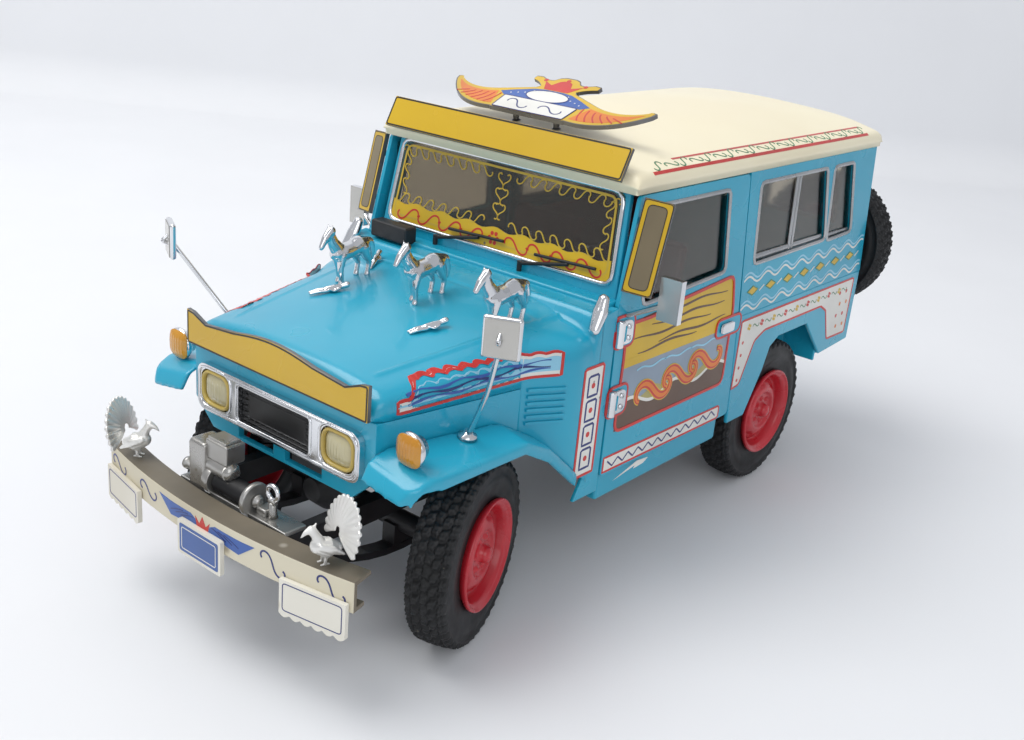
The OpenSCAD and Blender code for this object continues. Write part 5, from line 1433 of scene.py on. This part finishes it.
for k in range(6):
    a = np.pi / 3 * k
    red_marks.append(patch(disc((1.0 * np.cos(a), belt_z + 15.9 + 1.0 * np.sin(a)), 0.42, 10), on_screen,
                           0.24))
artwork("screen_paint", [(ink_yellow, bands), (gold, gold_marks), (ink_red, red_marks)], slot="sign_yellow")

silver_trim = finish("silver_trim", (0.50, 0.51, 0.52), (0.38, 0.39, 0.40), grain=220, rough=0.28,
                     metal=0.75, bump=0.02)
door_front, door_rear = station("left_door")[0][1] - 0.25, station("left_door")[1][1] - 2.6
openings = [
    ([(door_front + 8, belt_z + 9.8), (door_rear - 7.4, belt_z + 11.2), (door_rear - 9.2, belt_z + 28.1),
      (door_front + 6.6, belt_z + 28.1)], 1.4),
    ([(door_rear + 4.4, belt_z + 10.8), (door_rear + 38.2, belt_z + 11.2), (door_rear + 34.4, belt_z + 28.1),
      (door_rear + 3.4, belt_z + 28.1)], 1.2),
    ([(door_rear + 39.0, belt_z + 10.8), (door_rear + 52.2, belt_z + 11.2),
      (door_rear + 48.4, belt_z + 28.1),
      (door_rear + 38.0, belt_z + 28.1)], 1.2)]
surrounds, sashes = [], []
for s in (1, -1):
    for corners, radius in openings:
        loop = dense(round_outline(corners, radius), 1.0)
        surrounds.append(bead(on_side(s)(loop, 0.0), (s, 0, 0), half_round(0.9, 0.3)))
    mid = door_rear + 20.5
    for y, z0, z1, width in ((mid, 11.4, 28.0, 0.9), (mid + 1.5, 11.4, 28.0, 0.6)):
        sashes.append(patch(band(y, y + width, belt_z + z0, belt_z + z1), on_side(s), -0.35, sink=0.9))
    sashes.append(patch(band(door_rear + 4.4, door_rear + 37.0, belt_z + 11.3, belt_z + 12.6), on_side(s),
                        -0.4, sink=1.1))
    sashes.append(patch(band(door_rear + 39.4, door_rear + 51.2, belt_z + 11.3, belt_z + 12.2), on_side(s),
                        -0.4, sink=1.1))
metal_piece("window_surrounds", surrounds + sashes, material=silver_trim)

# ---- Hinges, handles and corner plates ----
# Plated door hinges with round barrels, push handles and the small plates at the windscreen's foot.

fittings = []
for s in (1, -1):
    for z in (belt_z + 6, belt_z - 7.6):
        plate = round_outline(band(door_front - 0.4, door_front + 4.6, z - 2.2, z + 2.2), 1.5)
        fittings.append(patch(plate, on_side(s), 0.75))
        fittings.append(turned([(0, 0.5), (0.3, 0.85), (4.9, 0.85), (5.2, 0.5)],
                               (s * (half_w + 0.55), door_front + 0.3, z - 2.6),
                               (s * (half_w + 0.55), door_front + 0.3, z + 9)))
        for dz in (-1.1, 1.1):
            fittings.append(patch(disc((door_front + 3.2, z + dz), 0.5, 12), on_side(s), 1.0))
    handle = round_outline(band(door_rear - 6.9, door_rear - 2.2, belt_z - 2.1, belt_z - 0.1), 0.7)
    fittings.append(patch(handle, on_side(s), 0.95))
    fittings.append(limb([(s * (half_w - 0.6), cowl_high[1] - 6.2, cowl_high[2] - 3.0),
                          (s * (half_w - 1.0), cowl_high[1] - 4.4, cowl_high[2] - 0.3),
                          (s * (half_w - 1.2), cowl_high[1] - 3.4, cowl_high[2] + 2.0)], [0.9, 1.25, 0.9],
                          flat=1.2,
                         ref=(0, 1, 0)))
metal_piece("door_fittings", fittings)

# ---- Painted side panels ----
# Printed sheets on both sides, all patterns free of words: streaked door panel in a red line, zigzag strips,
# wave strip on the hood side, waves and diamonds along the belt, and a white quarter panel round the arch.

slate = ink("ink_slate", (0.26, 0.33, 0.42))
brown = ink("ink_brown", (0.11, 0.055, 0.03))
pale_blue = ink("ink_pale_blue", (0.30, 0.62, 0.80))
green = ink("ink_green", (0.06, 0.22, 0.09))
olive = ink("ink_olive", (0.42, 0.36, 0.12))
layers = {m.name: (m, []) for m in (ink_white, ink_red, ink_yellow, slate, olive, brown, turquoise,
                                    pale_blue, ink_blue, ink_navy, green, ink_orange)}


def put(material, slab_part):
    """Keep a painted slab with the others of its colour."""
    layers[material.name][1].append(slab_part)


def wavy(y0, y1, z_low_edge, z_top, swing, waves, n=60):
    """Strip with a straight foot and a sine top edge."""
    y = np.linspace(y0, y1, n)
    top = z_top + swing * np.sin((y - y0) / (y1 - y0) * 2 * np.pi * waves)
    return np.vstack([[(y0, z_low_edge), (y1, z_low_edge)], np.column_stack([y, top])[::-1]])


def hood_side(s):
    """Place on the hood's flank: the crosswise position is read off the hood's own surface."""
    k = hood_x.shape[1] // 4

    def place(p, lift):
        at = np.clip(np.searchsorted(hood_y[:, 0], p[:, 0]), 0, len(hood_y) - 1)
        x = np.array([np.interp(z, hood_z[i, :k], hood_x[i, :k]) for i, z in zip(at, p[:, 1])])
        x = np.where(p[:, 0] > flare_start, np.maximum(x, flare_width(p[:, 0])), x)
        return np.column_stack([s * (x + lift), p[:, 0], p[:, 1]])
    return place


for s in (1, -1):
    side, flank, flare_place = on_side(s), hood_side(s), on_flare(s)
    y0, y1, z0, z1 = door_front + 3.0, door_rear - 2.4, belt_z - 14.2, belt_z + 8.6
    put(slate, patch(round_outline(band(y0, y1, z0, belt_z), 0.05), side, 0.03))
    put(ink_yellow, patch(band(y0 + 0.1, y1 - 0.1, belt_z - 1.6, belt_z), side, 0.05))
    put(ink_yellow, patch([(y0 + 0.1, belt_z), (y1 - 0.1, belt_z), (y1 - 1.2, z1 + 1.2),
                           (y1 - 24, z1 - 0.4), (y0 + 9, z1 - 1.6), (y0 + 0.8, z1 - 1.6)], side, 0.03))
    put(olive, patch(wavy(y0 + 0.1, y1 - 0.1, z0 + 1, belt_z - 8.2, 0.7, 4), side, 0.06))
    put(ink_white, patch(wavy(y0 + 0.1, y1 - 0.1, z0 + 0.5, z0 + 5.2, 1.1, 2.5), side, 0.09))
    put(brown, patch(wavy(y0 + 0.1, y1 - 0.1, z0 + 0.1, z0 + 4.5, 1.1, 2.5), side, 0.12))
    for k, (a, b, z) in enumerate(((4, 37, 52.6), (9, 36, 50.6), (3, 31, 48.8), (12, 37, 47.0),
                                   (5, 26, 46.1))):
        y = np.linspace(y0 + a, y0 + b, 20)
        put(brown, ribbon(np.column_stack([y, z - 0.4 + 0.3 * np.sin(y * 0.35 + k)]), 0.15 + 0.35 * np.sin(
            np.linspace(0, np.pi, 20)), side, 0.07))
    for k in range(3):
        y = y0 + 7.5 + 9.6 * k
        curl = s_scroll((y, belt_z - 10.0 + 0.9 * k), (y + 9.0, belt_z - 7.2 + 0.9 * k), 4.0, 40)
        thick_line = 0.5 + 1.0 * np.sin(np.linspace(0.1, np.pi - 0.1, 40))
        put(ink_yellow, ribbon(curl, thick_line + 0.7, side, 0.14))
        put(ink_red, ribbon(curl, thick_line + 0.3, side, 0.16))
        put(ink_orange, ribbon(curl, thick_line * 0.6, side, 0.18))
        put(pale_blue, ribbon(np.column_stack([np.linspace(y - 2, y + 8, 16), belt_z - 3.0 + 0.3 * np.sin(
            np.linspace(0, 9, 16))]), 0.35, side, 0.08))
    frame_line = round_outline([(y0, z0), (y1, z0), (y1, belt_z + 3), (y1 - 1.2, z1 + 1.2),
                                (y1 - 24, z1 - 0.4), (y0 + 9, z1 - 1.6), (y0 + 0.4, z1 - 1.6)], 2.0)
    put(ink_red, ribbon(dense(frame_line, 0.7), 0.65, side, 0.2, closed=True))
    for cy, cz, hy, hz in ((door_front + 2.6, belt_z + 6, 3.2, 3.0),
                           (door_front + 2.6, belt_z - 7.6, 3.2, 3.0),
                           (door_rear - 3.4, belt_z - 1.1, 5.0, 2.0)):
        pad = round_outline(band(cy - hy, cy + hy, cz - hz, cz + hz), 1.6)
        put(turquoise, patch(pad, side, 0.22))
        put(ink_red, ribbon(dense(pad, 0.6), 0.5, side, 0.25, closed=True))
    strip = np.array([(door_front + 0.9, 23.0), (door_rear - 1.6, 22.5), (door_rear - 1.6, 25.3),
                      (door_front + 0.9, 26.0)])
    put(ink_white, patch(strip, side, 0.03))
    put(ink_red, ribbon(dense(strip), 0.45, side, 0.06, closed=True))
    zig = [(door_front + 2.2 + 1.75 * k, (23.6 if k % 2 else 25.0) - 0.011 * k) for k in range(24)]
    put(ink_navy, ribbon(dense(zig, 0.45, False), 0.34, side, 0.06))
    put(ink_white, patch([(door_front + 5, 20.0), (door_front + 13, 21.8), (door_front + 17, 21.4),
                          (door_front + 15.4, 20.6), (door_front + 12, 20.4), (door_front + 12.4, 21.0)],
                         side, 0.04))
    upright = band(cowl_low[1] - 0.9, cowl_low[1] + 5.4, belt_z - 20.2, belt_z + 1.2)
    upright[[1, 2], 0] -= 0.6
    put(ink_white, patch(dense(upright, 1.0), flare_place, 0.06))
    put(ink_red, ribbon(dense(upright, 0.8), 0.55, flare_place, 0.1, closed=True))
    for k in range(4):
        z = belt_z - 18.8 + 4.8 * k
        box = band(cowl_low[1] + 0.5, cowl_low[1] + 3.5, z, z + 3.9)
        put(ink_navy, ribbon(dense(box, 0.7), 0.45, flare_place, 0.1, closed=True))
        put(ink_red, patch(disc((cowl_low[1] + 2.0, z + 1.95), 0.55, 10), flare_place, 0.1))
    base = np.linspace(front_axle_y - 13.6, front_axle_y + 18.6, 70)
    foot = np.linspace(45.0, 46.2, 70)
    crest_line = foot + 4.1 + 0.35 * np.abs(np.sin(np.linspace(0, 12 * np.pi, 70)))
    taper = np.clip((base - base[0]) / 5.0, 0.45, 1)
    top = foot + (crest_line - foot) * taper
    loop = np.vstack([np.column_stack([base, foot]), np.column_stack([base, top])[::-1]])
    quads = [np.array([(base[i], foot[i]), (base[i + 1], foot[i + 1]), (base[i + 1], top[i + 1]),
                       (base[i], top[i])]) for i in range(69)]
    for q in quads:
        put(ink_white, patch(q, flank, 0.05))
        put(pale_blue, patch(np.array([(q[0, 0], q[0, 1] + 0.9), (q[1, 0], q[1, 1] + 0.9),
                                       (q[2, 0], q[2, 1] - 0.8), (q[3, 0], q[3, 1] - 0.8)]), flank, 0.08))
    put(ink_red, ribbon(loop, 0.5, flank, 0.12, closed=True))
    for k, colour in enumerate((ink_blue, ink_navy, ink_blue)):
        z = foot + 1.25 + 0.75 * k + 0.25 * np.sin(base * (0.55 + 0.1 * k) + k)
        put(colour, ribbon(np.column_stack([base, z])[4:-4], 0.3 + 0.15 * np.sin(base * 0.8 + k)[4:-4],
                           flank, 0.11))
    y = np.linspace(door_rear + 1.2, tub_high[1] - 1.2, 120)
    for z, swing, colour in ((belt_z + 8.4, 0.75, pale_blue), (belt_z + 7.5, 0.75, ink_white),
                             (belt_z + 2.2, 0.75, pale_blue), (belt_z + 1.3, 0.75, ink_white)):
        put(colour, ribbon(np.column_stack([y, z + swing * np.sin((y - y[0]) * 0.78)]), 0.42, side, 0.04))
    for k in range(7):
        cy, cz = door_rear + 5.5 + 8.06 * k, belt_z + 4.9
        put(ink_yellow, patch([(cy - 2.3, cz), (cy, cz - 1.0), (cy + 2.3, cz), (cy, cz + 1.0)], side, 0.05))
        put(green, ribbon(dense([(cy - 2.3, cz), (cy, cz - 1.0), (cy + 2.3, cz), (cy, cz + 1.0)], 0.6),
                          0.25, side, 0.08, closed=True))
        put(ink_white, ribbon([(cy + 3.0, cz - 0.5), (cy + 4.0, cz), (cy + 5.0, cz + 0.5)], 0.3, side, 0.06))
    arch = [(68.4, 29.6), (64.9, 37.6), (61.6, 39.3), (33.6, 39.3), (29.4, 37.6), (25.2, 28.4)]
    corners = [(22.2, 28.0), (22.2, 43.5), (78.4, 43.5), (78.4, 29.4)]
    quarter = np.array(corners + arch) + [door_rear - 19.425, 0]
    put(ink_white, patch(quarter, side, 0.03))
    put(ink_red, ribbon(dense(quarter, 0.9), 0.5, side, 0.06, closed=True))
    for k in range(9):
        cy = door_rear + 6.5 + 5.6 * k
        for m in range(4):
            a = np.pi / 2 * m + 0.4
            put(ink_red if k % 2 else ink_yellow, patch(disc((cy + 0.5 * np.cos(a), 41.5 + 0.5 * np.sin(a)),
                                                             0.36, 8), side, 0.06))
        put(green, ribbon(s_scroll((cy + 1.6, 41.3), (cy + 4.2, 41.7), 2.6, 16), 0.22, side, 0.06))
    for k in range(4):
        for cy in (72.0, 75.6):
            put(ink_red if k % 2 else ink_orange, patch(disc((cy + 0.5 * (-1) ** k, 32.0 + 2.9 * k), 0.5,
                                                             10), side, 0.06))
        put(ink_red, patch(disc((23.9, 29.6 + 2.9 * k), 0.4, 10), side, 0.06))
artwork("side_panels", list(layers.values()), slot="body_turquoise")


def on_roof(s):
    """Place on the roof by (distance along, distance in from the rim)."""
    def place(p, lift):
        at = np.clip(np.searchsorted(roof_y[:, 0], p[:, 0]), 0, len(roof_y) - 1)
        x = roof_high[0] - p[:, 1]
        z = np.array([np.interp(v, roof_x[i], roof_z[i]) for i, v in zip(at, x)])
        return np.column_stack([s * (x + 0.7 * lift), p[:, 0], z + lift])
    return place


roof_red, roof_green = [], []
roof_y0, roof_y1 = roof_low[1] + 5.5, roof_high[1] - 8.0
for s in (1, -1):
    low_line = np.column_stack([np.linspace(roof_y0, roof_y1, 110), np.full(110, 0.75)])
    high_line = np.column_stack([np.linspace(roof_y0 + 10, roof_y1, 100), np.full(100, 3.6)])
    roof_red += [ribbon(low_line, 0.5, on_roof(s), 0.06), ribbon(high_line, 0.45, on_roof(s), 0.06)]
    for k in range(21):
        y = roof_y0 + 1.5 + 4.35 * k
        roof_green.append(ribbon(s_scroll((y, 1.8), (y + 3.6, 2.7), 3.2, 22, 1 if k % 2 else -1), 0.26,
                                 on_roof(s), 0.06))
artwork("roof_border", [(ink_red, roof_red), (green, roof_green)], slot="roof_cream")
